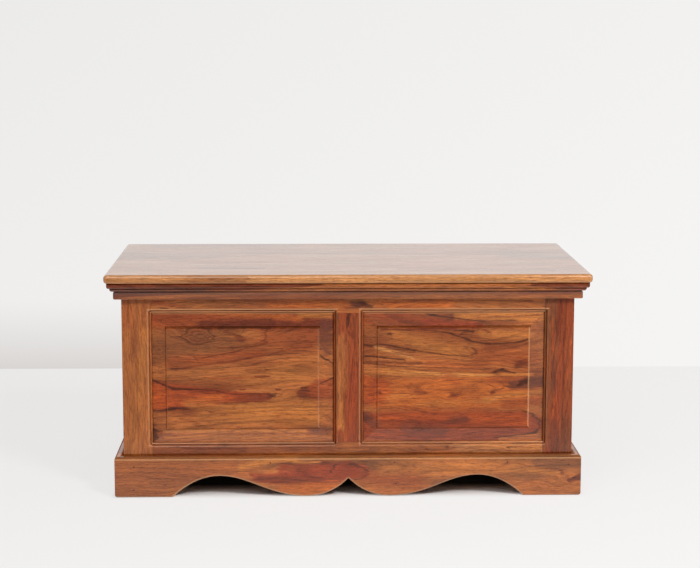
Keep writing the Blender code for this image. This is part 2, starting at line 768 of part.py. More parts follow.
# Hinges


def hinge_places():
    place = HINGE_PLACE_SHARE * CARCASE_WIDTH
    return {"left": -place, "right": place}


def hinge_recesses(is_lid):
    """Shallow recesses that let the hinge leaves in flush, in the lid or in the back rail."""
    bm = bmesh.new()
    half = HINGE_LENGTH / 2 + CLEARANCE
    front = HINGE_AXIS[1] - HINGE_LEAF_WIDTH - CLEARANCE
    depth = HINGE_LEAF_THICK + CLEARANCE
    if is_lid:
        heights = (LID_UNDERSIDE - CUT_OVERRUN, LID_UNDERSIDE + depth)
    else:
        heights = (CARCASE_HEIGHT - depth, CARCASE_HEIGHT + CUT_OVERRUN)
    for x in hinge_places().values():
        add_box(bm, (x - half, front, heights[0]), (x + half, HINGE_AXIS[1], heights[1]))
    return add_object("lid_recesses" if is_lid else "rail_recesses", bm)


def knuckle_spans(parity):
    """The stretches of one leaf's knuckles along the pin, from the hinge's middle."""
    length = HINGE_LENGTH / KNUCKLE_COUNT
    end = HINGE_LENGTH / 2
    spans = []
    for i in range(parity, KNUCKLE_COUNT, 2):
        low = -end if i == 0 else i * length - end + CLEARANCE / 2
        high = end if i == KNUCKLE_COUNT - 1 else (i + 1) * length - end - CLEARANCE / 2
        spans.append((low, high))
    return spans


def make_leaf(name, x, parity, matrix, parent):
    """A hinge leaf with its own knuckles. parity 0 is the fixed leaf below the joint, 1 the lid's."""
    root = -KNUCKLE_RADIUS - KNUCKLE_BACK_GAP
    gap = CLEARANCE / 2
    heights = (gap, gap + HINGE_LEAF_THICK) if parity else (-gap - HINGE_LEAF_THICK, -gap)
    half = HINGE_LENGTH / 2
    outline = [(-half, -HINGE_LEAF_WIDTH)]
    for low, high in knuckle_spans(parity):
        outline += [(low, root), (low, 0), (high, 0), (high, root)]
    if parity:
        outline = [outline[0], (-half, root)] + outline[1:] + [(half, root)]
    else:
        outline = [point for point in outline if point not in ((-half, root), (half, root))]
    outline.append((half, -HINGE_LEAF_WIDTH))
    bm = bmesh.new()
    loft(bm, [[(x + px, py, z) for px, py in outline] for z in heights])

    barrels = bmesh.new()
    for low, high in knuckle_spans(parity):
        turned(barrels, [(KNUCKLE_RADIUS, low), (KNUCKLE_RADIUS, high)], along_x(x, 0, 0))
    bore = bmesh.new()
    reach = half + CUT_OVERRUN
    turned(bore, [(PIN_RADIUS + CLEARANCE, -reach), (PIN_RADIUS + CLEARANCE, reach)], along_x(x, 0, 0))
    barrel_guide = add_object(f"{name}_barrels", barrels, matrix=matrix)
    bore_guide = add_object(f"{name}_bore", bore, matrix=matrix)
    leaf = add_object(name, bm, "brass", matrix, parent=parent)
    boolean(leaf, barrel_guide, "UNION")
    boolean(leaf, bore_guide, "DIFFERENCE")


def make_hinges(lid):
    matrix = Matrix.Translation(HINGE_AXIS)
    for side, x in hinge_places().items():
        make_leaf(f"hinge_{side}_fixed_leaf", x, 0, matrix, None)
        make_leaf(f"hinge_{side}_lid_leaf", x, 1, matrix, lid)
        end = HINGE_LENGTH / 2 + CLEARANCE
        tip = end + PIN_HEAD_LENGTH
        crown = PIN_HEAD_RADIUS - PIN_HEAD_LENGTH / 2
        profile = [(crown, -tip), (PIN_HEAD_RADIUS, -end - PIN_HEAD_LENGTH / 2), (PIN_HEAD_RADIUS, -end),
                   (PIN_RADIUS, -end), (PIN_RADIUS, end),
                   (PIN_HEAD_RADIUS, end), (PIN_HEAD_RADIUS, end + PIN_HEAD_LENGTH / 2), (crown, tip)]
        bm = bmesh.new()
        turned(bm, profile, along_x(x, 0, 0))
        smooth_round(add_object(f"hinge_{side}_pin", bm, "brass", matrix))


# Lid stays. The stud and the pivot are equally far from the hinge axis, so as the lid opens the arm turns
# back by exactly half the lid's angle, relative to the lid.


def stay_points():
    """The stud's centre and the closed lid's pivot, as (y, z)."""
    stud_z = CARCASE_HEIGHT - STAY_STUD_DROP
    pivot_z = LID_UNDERSIDE - STAY_PIVOT_DROP
    places = []
    for z in (stud_z, pivot_z):
        drop = HINGE_AXIS[2] - z
        places.append(Vector((HINGE_AXIS[1] - math.sqrt(STAY_RADIUS ** 2 - drop ** 2), z)))
    return places


def stay_reach():
    """The stud's distance from the pivot with the lid closed, and fully open."""
    stud, pivot = stay_points()
    closed = (stud - pivot).length
    half_angle = math.asin(closed / (2 * STAY_RADIUS))
    return closed, 2 * STAY_RADIUS * math.sin(half_angle + LID_OPEN_ANGLE / 2)


def stadium(low, high, radius):
    """A flat bar with round ends along x, from centre to centre."""
    right = arc((high, 0), radius, -QUARTER, QUARTER, ROUND_SIDES // 2)
    left = arc((low, 0), radius, QUARTER, 3 * QUARTER, ROUND_SIDES // 2)
    return right + left


def make_stay(side_name, side, lid):
    """One stay; side is -1 or 1. Its arm, bracket and rivet go with the lid, its stud with the chest."""
    stud, pivot = stay_points()
    closed, opened = stay_reach()
    wall_x = HALF_WIDTH - RAIL_THICK - CLEARANCE
    collar_x = wall_x - STUD_COLLAR_LENGTH
    arm_outer = collar_x - CLEARANCE
    arm_inner = arm_outer - STAY_ARM_THICK
    head_x = arm_inner - CLEARANCE

    # Along the arm x runs from the pivot to the stud, and z runs towards the middle of the chest
    direction = (stud - pivot).normalized()
    across = Vector((side * direction[1], -side * direction[0]))
    inward = Vector((-side, 0, 0))
    basis = Matrix((
        (0, 0, inward[0], side * arm_outer),
        (direction[0], across[0], 0, pivot[0]),
        (direction[1], across[1], 0, pivot[1]),
        (0, 0, 0, 1),
    ))
    slot_half = STUD_SHANK_RADIUS + CLEARANCE
    tip = opened + slot_half + STAY_SLOT_WALL - STAY_ARM_WIDTH / 2
    bm = bmesh.new()
    outline = stadium(0, tip, STAY_ARM_WIDTH / 2)
    loft(bm, [[(x, y, z) for x, y in outline] for z in (0, STAY_ARM_THICK)])
    cuts = bmesh.new()
    through = (-CUT_OVERRUN, STAY_ARM_THICK + CUT_OVERRUN)
    slot = stadium(closed - CLEARANCE, opened + CLEARANCE, slot_half)
    loft(cuts, [[(x, y, z) for x, y in slot] for z in through])
    eye = arc((0, 0), RIVET_RADIUS + CLEARANCE, 0, 4 * QUARTER, ROUND_SIDES)[:-1]
    loft(cuts, [[(x, y, z) for x, y in eye] for z in through])
    cutter = add_object(f"stay_{side_name}_slot", cuts, matrix=basis)
    add_object(f"stay_{side_name}_arm", bm, "steel", basis, parent=lid, cutters=(cutter,))

    outward = Matrix.Rotation(side * QUARTER, 4, "Y")
    bm = bmesh.new()
    turned(bm, [(STUD_HEAD_RADIUS - STUD_HEAD_LENGTH / 2, head_x - STUD_HEAD_LENGTH),
                (STUD_HEAD_RADIUS, head_x - STUD_HEAD_LENGTH / 2), (STUD_HEAD_RADIUS, head_x),
                (STUD_SHANK_RADIUS, head_x), (STUD_SHANK_RADIUS, collar_x),
                (STUD_COLLAR_RADIUS, collar_x), (STUD_COLLAR_RADIUS, wall_x)], outward)
    place = Matrix.Translation((0, stud[0], stud[1]))
    smooth_round(add_object(f"stay_{side_name}_stud", bm, "steel", place))

    tab_inner = arm_outer + CLEARANCE
    tab_outer = tab_inner + BRACKET_THICK
    inner_head = arm_inner - CLEARANCE
    outer_head = tab_outer + CLEARANCE
    bm = bmesh.new()
    turned(bm, [(RIVET_HEAD_RADIUS - RIVET_HEAD_LENGTH / 2, inner_head - RIVET_HEAD_LENGTH),
                (RIVET_HEAD_RADIUS, inner_head), (RIVET_RADIUS, inner_head), (RIVET_RADIUS, outer_head),
                (RIVET_HEAD_RADIUS, outer_head),
                (RIVET_HEAD_RADIUS - RIVET_HEAD_LENGTH / 2, outer_head + RIVET_HEAD_LENGTH)], outward)
    place = Matrix.Translation((0, pivot[0], pivot[1]))
    smooth_round(add_object(f"stay_{side_name}_rivet", bm, "steel", place, parent=lid))
    make_bracket(side_name, side, lid, place, tab_inner, tab_outer)


def make_bracket(side_name, side, lid, place, tab_inner, tab_outer):
    """The stay's angle bracket: a tab that holds the rivet, and a flange under the lid."""
    flange_top = STAY_PIVOT_DROP - CLEARANCE
    flange_low = flange_top - BRACKET_THICK
    flange_inner = tab_outer - BRACKET_FLANGE
    nose = STAY_ARM_WIDTH / 2
    base = BRACKET_LENGTH / 2
    tab = [(-base, flange_top)]
    tab += arc((0, 0), nose, 2 * QUARTER, 4 * QUARTER, ROUND_SIDES // 2)
    tab.append((base, flange_top))
    bm = bmesh.new()
    loft(bm, [[(side * x, y, z) for y, z in tab] for x in (tab_inner, tab_outer)])
    flange = bmesh.new()
    xs = sorted((side * flange_inner, side * (tab_inner + BRACKET_THICK / 2)))
    add_box(flange, (xs[0], -base, flange_low), (xs[1], base, flange_top))
    eye = bmesh.new()
    eye_radius = RIVET_RADIUS + CLEARANCE
    eye_ends = (tab_inner - CUT_OVERRUN, tab_outer + CUT_OVERRUN)
    turned(eye, [(eye_radius, x) for x in eye_ends], Matrix.Rotation(side * QUARTER, 4, "Y"))
    name = f"stay_{side_name}_bracket"
    flange_guide = add_object(f"{name}_flange", flange, matrix=place)
    eye_guide = add_object(f"{name}_eye", eye, matrix=place)
    bracket = add_object(name, bm, "steel", place, parent=lid)
    boolean(bracket, flange_guide, "UNION")
    boolean(bracket, eye_guide, "DIFFERENCE")


def main():
    clear_scene()
    mortises = post_mortises()
    muntin_mortises = rail_mortises()
    grooves = panel_grooves()
    mouldings = moulding_cutters()
    rail_recesses = hinge_recesses(is_lid=False)
    lid_recesses = hinge_recesses(is_lid=True)

    make_posts((mortises, grooves, mouldings))
    for wall in WALLS:
        is_long = wall in ("front", "back")
        inner = LONG_INNER if is_long else END_INNER
        for level in ("top", "bottom"):
            cutters = [grooves]
            if is_long:
                cutters.append(muntin_mortises)
            if wall != "back":
                cutters.append(mouldings)
            elif level == "top":
                cutters.append(rail_recesses)
            make_rail(wall, level, inner, cutters)
    make_muntin("front", (grooves, mouldings))
    make_muntin("back", (grooves,))
    make_panels()
    make_cornice()
    make_plinth()
    make_floor()
    lid = make_lid(lid_recesses)
    make_battens(lid)
    make_hinges(lid)
    make_stay("left", -1, lid)
    make_stay("right", 1, lid)


main()
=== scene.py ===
"""Looks for the blanket chest: oiled rosewood-like boards, brass and steel fittings, studio and camera."""
import json
import math
import random
from collections import namedtuple

import bmesh
import bpy
from mathutils import Matrix, Vector


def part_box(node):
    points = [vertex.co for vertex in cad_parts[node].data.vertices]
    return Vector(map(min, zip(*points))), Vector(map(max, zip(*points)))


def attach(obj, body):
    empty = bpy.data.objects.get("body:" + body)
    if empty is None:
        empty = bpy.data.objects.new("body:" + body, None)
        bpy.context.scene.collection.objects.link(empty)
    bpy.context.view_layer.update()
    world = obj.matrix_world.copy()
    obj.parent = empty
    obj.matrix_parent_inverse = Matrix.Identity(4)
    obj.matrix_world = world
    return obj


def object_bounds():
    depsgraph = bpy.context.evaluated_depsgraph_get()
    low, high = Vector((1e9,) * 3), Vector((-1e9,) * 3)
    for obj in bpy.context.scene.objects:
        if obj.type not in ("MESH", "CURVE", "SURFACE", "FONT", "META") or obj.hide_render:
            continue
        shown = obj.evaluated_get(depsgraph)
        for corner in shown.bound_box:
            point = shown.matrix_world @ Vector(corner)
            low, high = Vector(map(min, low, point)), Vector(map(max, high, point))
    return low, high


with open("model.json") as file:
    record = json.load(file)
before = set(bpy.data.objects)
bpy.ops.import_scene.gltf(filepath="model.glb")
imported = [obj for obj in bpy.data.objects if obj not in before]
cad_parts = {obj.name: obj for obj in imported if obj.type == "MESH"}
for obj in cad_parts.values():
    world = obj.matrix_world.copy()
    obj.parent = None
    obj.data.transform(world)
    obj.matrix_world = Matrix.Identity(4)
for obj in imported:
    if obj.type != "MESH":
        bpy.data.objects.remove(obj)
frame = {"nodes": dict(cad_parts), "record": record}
cad_low, cad_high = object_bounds()
nodes = frame["nodes"]

# Places taken from the frame, in metres
FRONT_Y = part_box("front_post_left")[0].y
BACK_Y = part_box("back_post_left")[1].y
PLINTH_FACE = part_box("plinth_front")[0].y

# Camera, fitted to the photograph's straight edges. Its place counts from the middle of the frame's front.
CAMERA_PLACE = Vector((-0.1039, -3.9903, 1.0867))
CAMERA_YAW = math.radians(1.538)
CAMERA_PITCH = math.radians(8.506)
CAMERA_ROLL = math.radians(0.080)
CAMERA_LENS = 91.8
SENSOR_WIDTH = 36.0

# Room
WALL_GAP = 0.98             # from the chest's back to the wall
WALL_SHADE_HEIGHT = 0.22
ROOM_HALF = 9.0
WALL_HEIGHT = 6.0

# Light: the key comes from the front and the right as the photograph's shadows show
KEY_DIRECTION = Vector((0.65, -1.11, 1.0))
KEY_DISTANCE = 4.4
KEY_SIZE = 0.8
KEY_POWER = 95
FILL_PLACE = (-0.9, -2.8, 3.0)
FILL_SIZE = 2.4
FILL_POWER = 50
AMBIENT = 0.32
BACKDROP = 0.88             # round the room, where the wall isn't in view
FLOOR_FILL = 0.80           # how far the camera sees the floor's shadows filled

# Small fasteners
NAIL_RADIUS = 0.0017
NAIL_PROUD = 0.0002
SCREW_RADIUS = 0.0034
SCREW_PROUD = 0.00008
SCREW_SLOT_DEPTH = 0.00006
SLOT_SHARE = 0.16           # half of a screw slot's width, of the head's radius
SUNK = 0.0002               # how far a head's rim reaches into the surface
HEAD_STEPS = 12
LEAF_GAP = 0.0003           # between the two leaves of a closed hinge
BRACKET_FACE_DROP = 0.0023  # from the lid's underside to the face of a bracket's flange
BRACKET_SCREW_INSET = 0.0070
NAIL_PLACES = ((-489.2, 72.0), (-490.1, 18.4), (-178.8, 80.4), (104.3, 80.5), (108.9, 30.5), (363.5, 79.1),
               (504.2, 73.2))   # on the plinth's front, in millimetres

# Moulding and raised field, in millimetres from the sight line of a panel's opening
GROOVE = (3.6, 5.9)         # outward
MOULDING_EDGE = 10.0
MOULDING_DEPTH = 14.0       # back from the frame's face
FIELD_INSET = 35.3          # inward
FIELD_STEP = 3.4            # the slope between the field's top edge and its foot
MILLIMETRES = 1000.0        # wood figure is drawn in millimetres

# The plinth's scalloped edge, in millimetres, as the part has it
FOOT_WIDTH = 131.8
ARCH_RISE = 49.0
ARCH_RUN = 106.0
LOBE_MIDDLE = 95.0
CUSP_HEIGHT = 42.0
FOOT_PULL = (0.24, 0.49, 0.58)      # where the curves' handles lie, as shares of their runs and rises
FALL_PULL = (0.35, 0.45)
CUSP_PULL = (0.55, 0.25, 0.43)
EDGE_LIGHT = 4.6            # how far up the painted highlight on the edge reaches

# How strokes are softened as a whole
SOFTENING = 1.5
SOFTEST = 0.95
STROKE_STRENGTH = 0.85
FINE_LINE = 5.0             # strokes whose half width is less are contour lines, drawn thinner
FINE_SHARE = 0.75
RING_STRENGTH = 0.62
QUARTER_BEND = math.sqrt(2) - 1     # how far a quarter of an oval bows out, of its sides' product / chord

# Wood in general
RING_LEAN = 0.6             # how far growth rings lean into a board, of its depth
SEED_REACH = 4000           # how far a seed moves a board's figure along its grain, in millimetres
ACROSS_REACH = 0.37         # and across it, as a share of that
PORE_STRENGTH = 0.6
COAT_ROUGHNESS = 0.14
BARE_ROUGHNESS = 0.7        # of unfinished wood
MATT_ROUGHNESS = 0.8        # of wood under painted shade
MATT_RATE = 2.2             # how soon painted shade takes the gloss away


def srgb(red, green, blue):
    """A colour picked as 0 to 255 values, as the linear colour that a shader takes."""
    linear = []
    for value in (red, green, blue):
        share = value / 255
        linear.append(share / 12.92 if share <= 0.04045 else ((share + 0.055) / 1.055) ** 2.4)
    return (*linear, 1.0)


FLOOR_COLOUR = srgb(247, 246, 245)
WALL_COLOUR = srgb(245, 244, 243)       # as the camera and gloss see it
WALL_PAINT = srgb(170, 168, 166)        # as the light bounces off it

# Wood tones, as they render under plain light
TONES = {
    "cream": srgb(206, 137, 73),
    "gold": srgb(192, 116, 52),
    "honey": srgb(196, 134, 80),
    "tan": srgb(178, 102, 49),
    "amber": srgb(186, 96, 37),
    "orange": srgb(178, 79, 30),
    "russet": srgb(152, 69, 31),
    "brown": srgb(138, 71, 35),
    "grey_brown": srgb(130, 77, 44),
    "red": srgb(148, 60, 30),
    "maroon": srgb(112, 46, 24),
    "purple": srgb(104, 54, 38),
    "dark": srgb(78, 37, 21),
    "black": srgb(44, 23, 16),
    "bare": srgb(188, 140, 96),
    "bare_dark": srgb(150, 100, 66),
}
LINE_TINT = (0.36, 0.27, 0.22, 1.0)     # what a dark growth ring leaves of the wood's colour
PORE_TINT = (0.42, 0.33, 0.28, 1.0)
# Painted shade: what a shadowed groove, quirk or shadow line leaves of the wood's colour
SHADE_TINT = (0.26, 0.20, 0.18, 1.0)
HIGHLIGHT_TINT = srgb(214, 158, 108)              # a painted highlight on a rounded edge, bead or lip
SHEEN_TINT = srgb(112, 80, 70)                # a painted greyish sheen, standing for a reflection of light

# How strongly painted shade shows along the level sides of an opening, and along its left and right ones
LEVEL_SHADE, LEFT_SHADE, RIGHT_SHADE = 0.10, 0.65, 1.15

# Painted shade round an opening as (from, to, soft, strength), in millimetres outward from its sight line
FRAME_SHADE = ((*GROOVE, 0.6, 0.50), (-1.0, 0.7, 0.5, 0.75), (0.7, 3.4, 0.5, 0.30))

# Painted shade and painted sheen on the cornice as (from, to, strength, tint), in shares of its height, and
# how soft their edges are
CORNICE_LINES = ((0.04, 0.46, 0.30, SHEEN_TINT), (0.27, 0.46, 0.40, SHEEN_TINT), (0.65, 0.71, 0.50, SHADE_TINT),
                 (0.46, 0.51, 0.35, SHADE_TINT), (0.94, 1.10, 0.70, SHADE_TINT))
CORNICE_SOFT = 0.7

# A stroke is a soft tapered streak along the grain; a knot lifts the growth rings round a point
Stroke = namedtuple("Stroke", "tone start end widths bend soft strength")
Knot = namedtuple("Knot", "centre size lift")
# A board's last field is how strongly a painted highlight shows on its rounded edges
Board = namedtuple("Board", "axes tones contrast strokes knots ring seed gloss coat wear")

# A frame's opening: the axis across it, whether both sides of the middle have one, its middle and half size
Opening = namedtuple("Opening", "axis mirrored middle half")

# Which coordinates run along the grain, across it and into the board
ALONG_X = ("X", "Z", "Y")       # rails and panels of the front and back
UP_FRONT = ("Z", "X", "Y")      # posts and muntins
ALONG_Y = ("Y", "Z", "X")       # rails and panels of the ends
LID_GRAIN = ("X", "Y", "Z")
FLOOR_GRAIN = ("Y", "X", "Z")


def stroke(tone, x0, z0, x1, z1, wide, narrow, soft=0.6, strength=1.0, bend=0.0):
    """A streak between two points, in millimetres, whose half width goes from wide to narrow."""
    fineness = FINE_SHARE if wide < FINE_LINE else 1.0
    return Stroke(tone, (x0, z0, 0.0), (x1, z1, 0.0), (wide * fineness, narrow * fineness), bend,
                  min(soft * SOFTENING, SOFTEST), strength * STROKE_STRENGTH)


def loop(tone, x, z, length, height, wide, strength):
    """The rows of an oval ring of four bent strokes round a point."""
    half, rise = length / 2, height / 2
    corners = [(x - half, z), (x, z - rise), (x + half, z), (x, z + rise)]
    bend = -QUARTER_BEND * half * rise / math.hypot(half, rise)
    return [(tone, *start, *end, wide, wide, 0.6, strength, bend)
            for start, end in zip(corners, corners[1:] + corners[:1])]


def board(axes, tones, contrast, strokes, knots, ring, seed, gloss=0.30, coat=0.5, wear=0.14):
    """A plan from rows of strokes, as stroke() takes them, and of knots: place, length, height and lift."""
    strokes = tuple(stroke(*row) for row in strokes)
    knots = tuple(Knot((x, z, 0.0), (length, height), lift) for x, z, length, height, lift in knots)
    return Board(axes, tones, contrast, strokes, knots, ring, seed, gloss, coat, wear)


# Node helpers


def feed(tree, socket, value):
    if isinstance(value, bpy.types.NodeSocket):
        tree.links.new(value, socket)
    else:
        socket.default_value = value


def node(tree, kind, values, **settings):
    """The outputs of a new node, with its settings made and its inputs set or linked."""
    made = tree.nodes.new("ShaderNode" + kind)
    for name, setting in settings.items():
        setattr(made, name, setting)
    for key, value in values.items():
        feed(tree, made.inputs[key], value)
    return made.outputs


def calc(tree, operation, *values):
    return node(tree, "Math", dict(enumerate(values)), operation=operation)[0]


def times(tree, value, *others):
    for other in others:
        value = calc(tree, "MULTIPLY", value, other)
    return value


def vector_calc(tree, operation, *values):
    outputs = node(tree, "VectorMath", dict(enumerate(values)), operation=operation)
    return outputs["Value" if operation in ("DOT_PRODUCT", "LENGTH") else "Vector"]


def scaled(tree, vector, factor):
    return node(tree, "VectorMath", {0: vector, "Scale": factor}, operation="SCALE")["Vector"]


def mix_colour(tree, factor, first, second, blend="MIX"):
    return node(tree, "Mix", {0: factor, 6: first, 7: second}, data_type="RGBA", blend_type=blend)[2]


def mix_value(tree, factor, first, second):
    return node(tree, "Mix", {0: factor, 2: first, 3: second}, data_type="FLOAT")[0]


def remap(tree, value, low, high, to_low=0.0, to_high=1.0, interpolation="LINEAR"):
    """A value taken from one range to another, held at the ends."""
    values = {"Value": value, "From Min": low, "From Max": high, "To Min": to_low, "To Max": to_high}
    held = interpolation == "LINEAR"        # the smooth one holds its ends by itself
    return node(tree, "MapRange", values, interpolation_type=interpolation, clamp=held)["Result"]


def ease(tree, value, low, high, to_low=0.0, to_high=1.0):
    return remap(tree, value, low, high, to_low, to_high, "SMOOTHSTEP")


def noise(tree, vector, scale=1.0, detail=2.0, roughness=0.5, dimensions="3D"):
    """Noise of a vector, or of a plain value in one dimension. Returns its value and its colour."""
    values = {"W" if dimensions == "1D" else "Vector": vector, "Scale": scale, "Detail": detail,
              "Roughness": roughness}
    outputs = node(tree, "TexNoise", values, noise_dimensions=dimensions)
    return outputs[0], outputs[1]


def split(tree, vector):
    outputs = node(tree, "SeparateXYZ", {0: vector})
    return outputs[0], outputs[1], outputs[2]


def join(tree, x, y, z):
    return node(tree, "CombineXYZ", {0: x, 1: y, 2: z})[0]


def coordinates(tree, kind):
    """Where a point lies or how its surface faces, or which way a ray of the world looks."""
    return node(tree, "TexCoord", {})[kind]


def ray_kinds(tree):
    return node(tree, "LightPath", {})


def new_group(name, inputs, outputs):
    """An empty node group with its sockets, and the two nodes that hold them."""
    group = bpy.data.node_groups.new(name, "ShaderNodeTree")
    for label, kind in inputs:
        group.interface.new_socket(label, in_out="INPUT", socket_type=kind)
    for label, kind in outputs:
        group.interface.new_socket(label, in_out="OUTPUT", socket_type=kind)
    return group, group.nodes.new("NodeGroupInput").outputs, group.nodes.new("NodeGroupOutput").inputs


def use_group(tree, group, **values):
    return node(tree, "Group", values, node_tree=group)


FLOAT, VECTOR = "NodeSocketFloat", "NodeSocketVector"


def stroke_group():
    """How far a point lies inside a bent, tapered streak: 1 well inside, 0 outside."""
    inputs = [("Point", VECTOR), ("Start", VECTOR), ("Run", VECTOR), ("Side", VECTOR), ("Squared", FLOAT),
              ("Wide", FLOAT), ("Narrow", FLOAT), ("Soft", FLOAT), ("Strength", FLOAT)]
    group, given, result = new_group("streak", inputs, [("Mask", FLOAT)])
    offset = vector_calc(group, "SUBTRACT", given["Point"], given["Start"])
    along = calc(group, "DIVIDE", vector_calc(group, "DOT_PRODUCT", offset, given["Run"]), given["Squared"])
    share = calc(group, "MINIMUM", calc(group, "MAXIMUM", along, 0.0), 1.0)
    arch = times(group, share, calc(group, "SUBTRACT", 1.0, share))
    middle = vector_calc(group, "ADD", scaled(group, given["Run"], share), scaled(group, given["Side"], arch))
    distance = vector_calc(group, "LENGTH", vector_calc(group, "SUBTRACT", offset, middle))
    reach = calc(group, "DIVIDE", distance, mix_value(group, share, given["Wide"], given["Narrow"]))
    inner = calc(group, "SUBTRACT", 1.0, given["Soft"])
    outer = calc(group, "ADD", 1.0, given["Soft"])
    mask = ease(group, reach, inner, outer, 1.0, 0.0)
    feed(group, result["Mask"], times(group, mask, given["Strength"]))
    return group


def wander_group():
    """Bends coordinates a little along and across the grain, so that streaks end in feathered fibres."""
    group, given, result = new_group("wander", [("Point", VECTOR)], [("Point", VECTOR), ("Drift", FLOAT)])
    along, across, _ = split(group, given["Point"])
    point = join(group, along, across, 0.0)
    for scales, reach in (((0.012, 0.09, 0.06), (36.0, 7.0, 0.0)), ((0.05, 0.42, 0.3), (18.0, 2.4, 0.0))):
        sample = vector_calc(group, "MULTIPLY", given["Point"], scales)
        feathers = vector_calc(group, "SUBTRACT", noise(group, sample, detail=3.0)[1], (0.5, 0.5, 0.5))
        point = vector_calc(group, "ADD", point, vector_calc(group, "MULTIPLY", feathers, reach))
    feed(group, result["Point"], point)
    drift = calc(group, "SUBTRACT", stretched(group, given["Point"], (0.0042, 0.016, 0.016), 1.5), 0.5)
    feed(group, result["Drift"], times(group, drift, 70.0))
    return group


def stretched(tree, point, scales, detail, roughness=0.5):
    """Noise drawn out by a scale for each axis."""
    return noise(tree, vector_calc(tree, "MULTIPLY", point, scales), detail=detail, roughness=roughness)[0]


def figure_group():
    """Growth rings, fibres and pores of a board, from its ring field and its point in millimetres."""
    outputs = [("Rings", FLOAT), ("Shade", FLOAT), ("Pores", FLOAT), ("Height", FLOAT)]
    group, given, result = new_group("figure", [("Field", FLOAT), ("Point", VECTOR)], outputs)
    rings = noise(group, given["Field"], scale=1.0, detail=3.5, roughness=0.62, dimensions="1D")[0]
    thin = noise(group, given["Field"], scale=3.7, detail=1.0, dimensions="1D")[0]
    broad = ease(group, rings, 0.55, 0.34)
    lines = times(group, ease(group, thin, 0.40, 0.28), 0.6)
    feed(group, result["Rings"], calc(group, "MAXIMUM", broad, lines))

    point = given["Point"]
    fibres = stretched(group, point, (0.020, 0.42, 0.42), 4.0, 0.65)
    clouds = stretched(group, point, (0.007, 0.022, 0.022), 2.0)
    flecks = stretched(group, point, (0.16, 0.50, 0.50), 3.0, 0.7)
    shades = [remap(group, value, 0.3, 0.7, dim, bright) for value, dim, bright in (
        (rings, 0.88, 1.12), (fibres, 0.74, 1.26), (flecks, 0.80, 1.26), (clouds, 0.86, 1.14))]
    feed(group, result["Shade"], times(group, *shades))
    pores = ease(group, stretched(group, point, (0.055, 0.55, 0.55), 3.0), 0.52, 0.64)
    feed(group, result["Pores"], pores)
    feed(group, result["Height"], calc(group, "SUBTRACT", times(group, fibres, 0.5), pores))
    return group


STREAK = stroke_group()
WANDER = wander_group()
FIGURE = figure_group()


def new_material(name, rough=0.4, metallic=0.0):
    material = bpy.data.materials.new(name)
    material.use_nodes = True
    shader = material.node_tree.nodes["Principled BSDF"]
    shader.inputs["Roughness"].default_value = rough
    shader.inputs["Metallic"].default_value = metallic
    return material, material.node_tree, shader


def object_point(tree, factor=1.0):
    return scaled(tree, coordinates(tree, "Object"), factor)


def bump(tree, shader, height, distance, strength=1.0):
    values = {"Distance": distance, "Strength": strength, "Height": height}
    feed(tree, shader.inputs["Normal"], node(tree, "Bump", values)[0])


def streak_mask(tree, point, item):
    """The mask of one stroke at a point."""
    start, end = Vector(item.start), Vector(item.end)
    run = end - start
    side = Vector((-run.y, run.x, 0)).normalized() * item.bend * 4
    wide, narrow = item.widths
    return use_group(tree, STREAK, Point=point, Start=start, Run=run, Side=side, Squared=run.length_squared,
                     Wide=wide, Narrow=narrow, Soft=item.soft, Strength=item.strength)["Mask"]


def knot_lift(tree, point, item):
    """How far a knot lifts the growth rings at a point."""
    offset = vector_calc(tree, "SUBTRACT", point, item.centre)
    shares = vector_calc(tree, "MULTIPLY", offset, (1 / item.size[0], 1 / item.size[1], 0.0))
    squared = vector_calc(tree, "DOT_PRODUCT", shares, shares)
    bell = calc(tree, "EXPONENT", times(tree, squared, -1.0))
    return times(tree, bell, item.lift)


def band(tree, value, low, high, soft):
    """1 where a value lies between low and high, with soft ends."""
    rise = ease(tree, value, low - soft, low + soft)
    fall = ease(tree, value, high + soft, high - soft)
    return times(tree, rise, fall)


def around(tree, place, opening):
    """How far a point lies outside an opening, and if its nearest side is upright, and right or upper."""
    across, up = place[opening.axis], place["Z"]
    if opening.mirrored:
        offset = calc(tree, "SUBTRACT", calc(tree, "ABSOLUTE", across), opening.middle[0])
        offset = times(tree, offset, calc(tree, "SIGN", across))
    else:
        offset = calc(tree, "SUBTRACT", across, opening.middle[0])
    beside = calc(tree, "SUBTRACT", calc(tree, "ABSOLUTE", offset), opening.half[0])
    height = calc(tree, "SUBTRACT", up, opening.middle[1])
    above = calc(tree, "SUBTRACT", calc(tree, "ABSOLUTE", height), opening.half[1])
    upright, right, upper = (remap(tree, value, -1.0, 1.0) for value in
                             (calc(tree, "SUBTRACT", beside, above), offset, height))
    return calc(tree, "MAXIMUM", beside, above), upright, right, upper


def shaded_side(tree, upright, right):
    """How strongly painted shade shows on each side of an opening: most on the right, away from the light."""
    return mix_value(tree, upright, LEVEL_SHADE, mix_value(tree, right, LEFT_SHADE, RIGHT_SHADE))


def marked(tree, colour, marks):
    """Colour with each (mask, strength, tint) of pores or painted shade multiplied in, or of painted
    highlight or sheen mixed in.

    Also how matt the painted shade makes it, from 0 to 1, or None where there is none."""
    matt = None
    for mask, strength, tint in marks:
        blend = "MIX" if tint in (HIGHLIGHT_TINT, SHEEN_TINT) else "MULTIPLY"
        share = times(tree, mask, strength)
        colour = mix_colour(tree, share, colour, tint, blend)
        if tint == SHADE_TINT:
            matt = share if matt is None else calc(tree, "MAXIMUM", matt, share)
    return colour, matt and calc(tree, "MINIMUM", times(tree, matt, MATT_RATE), 1.0)


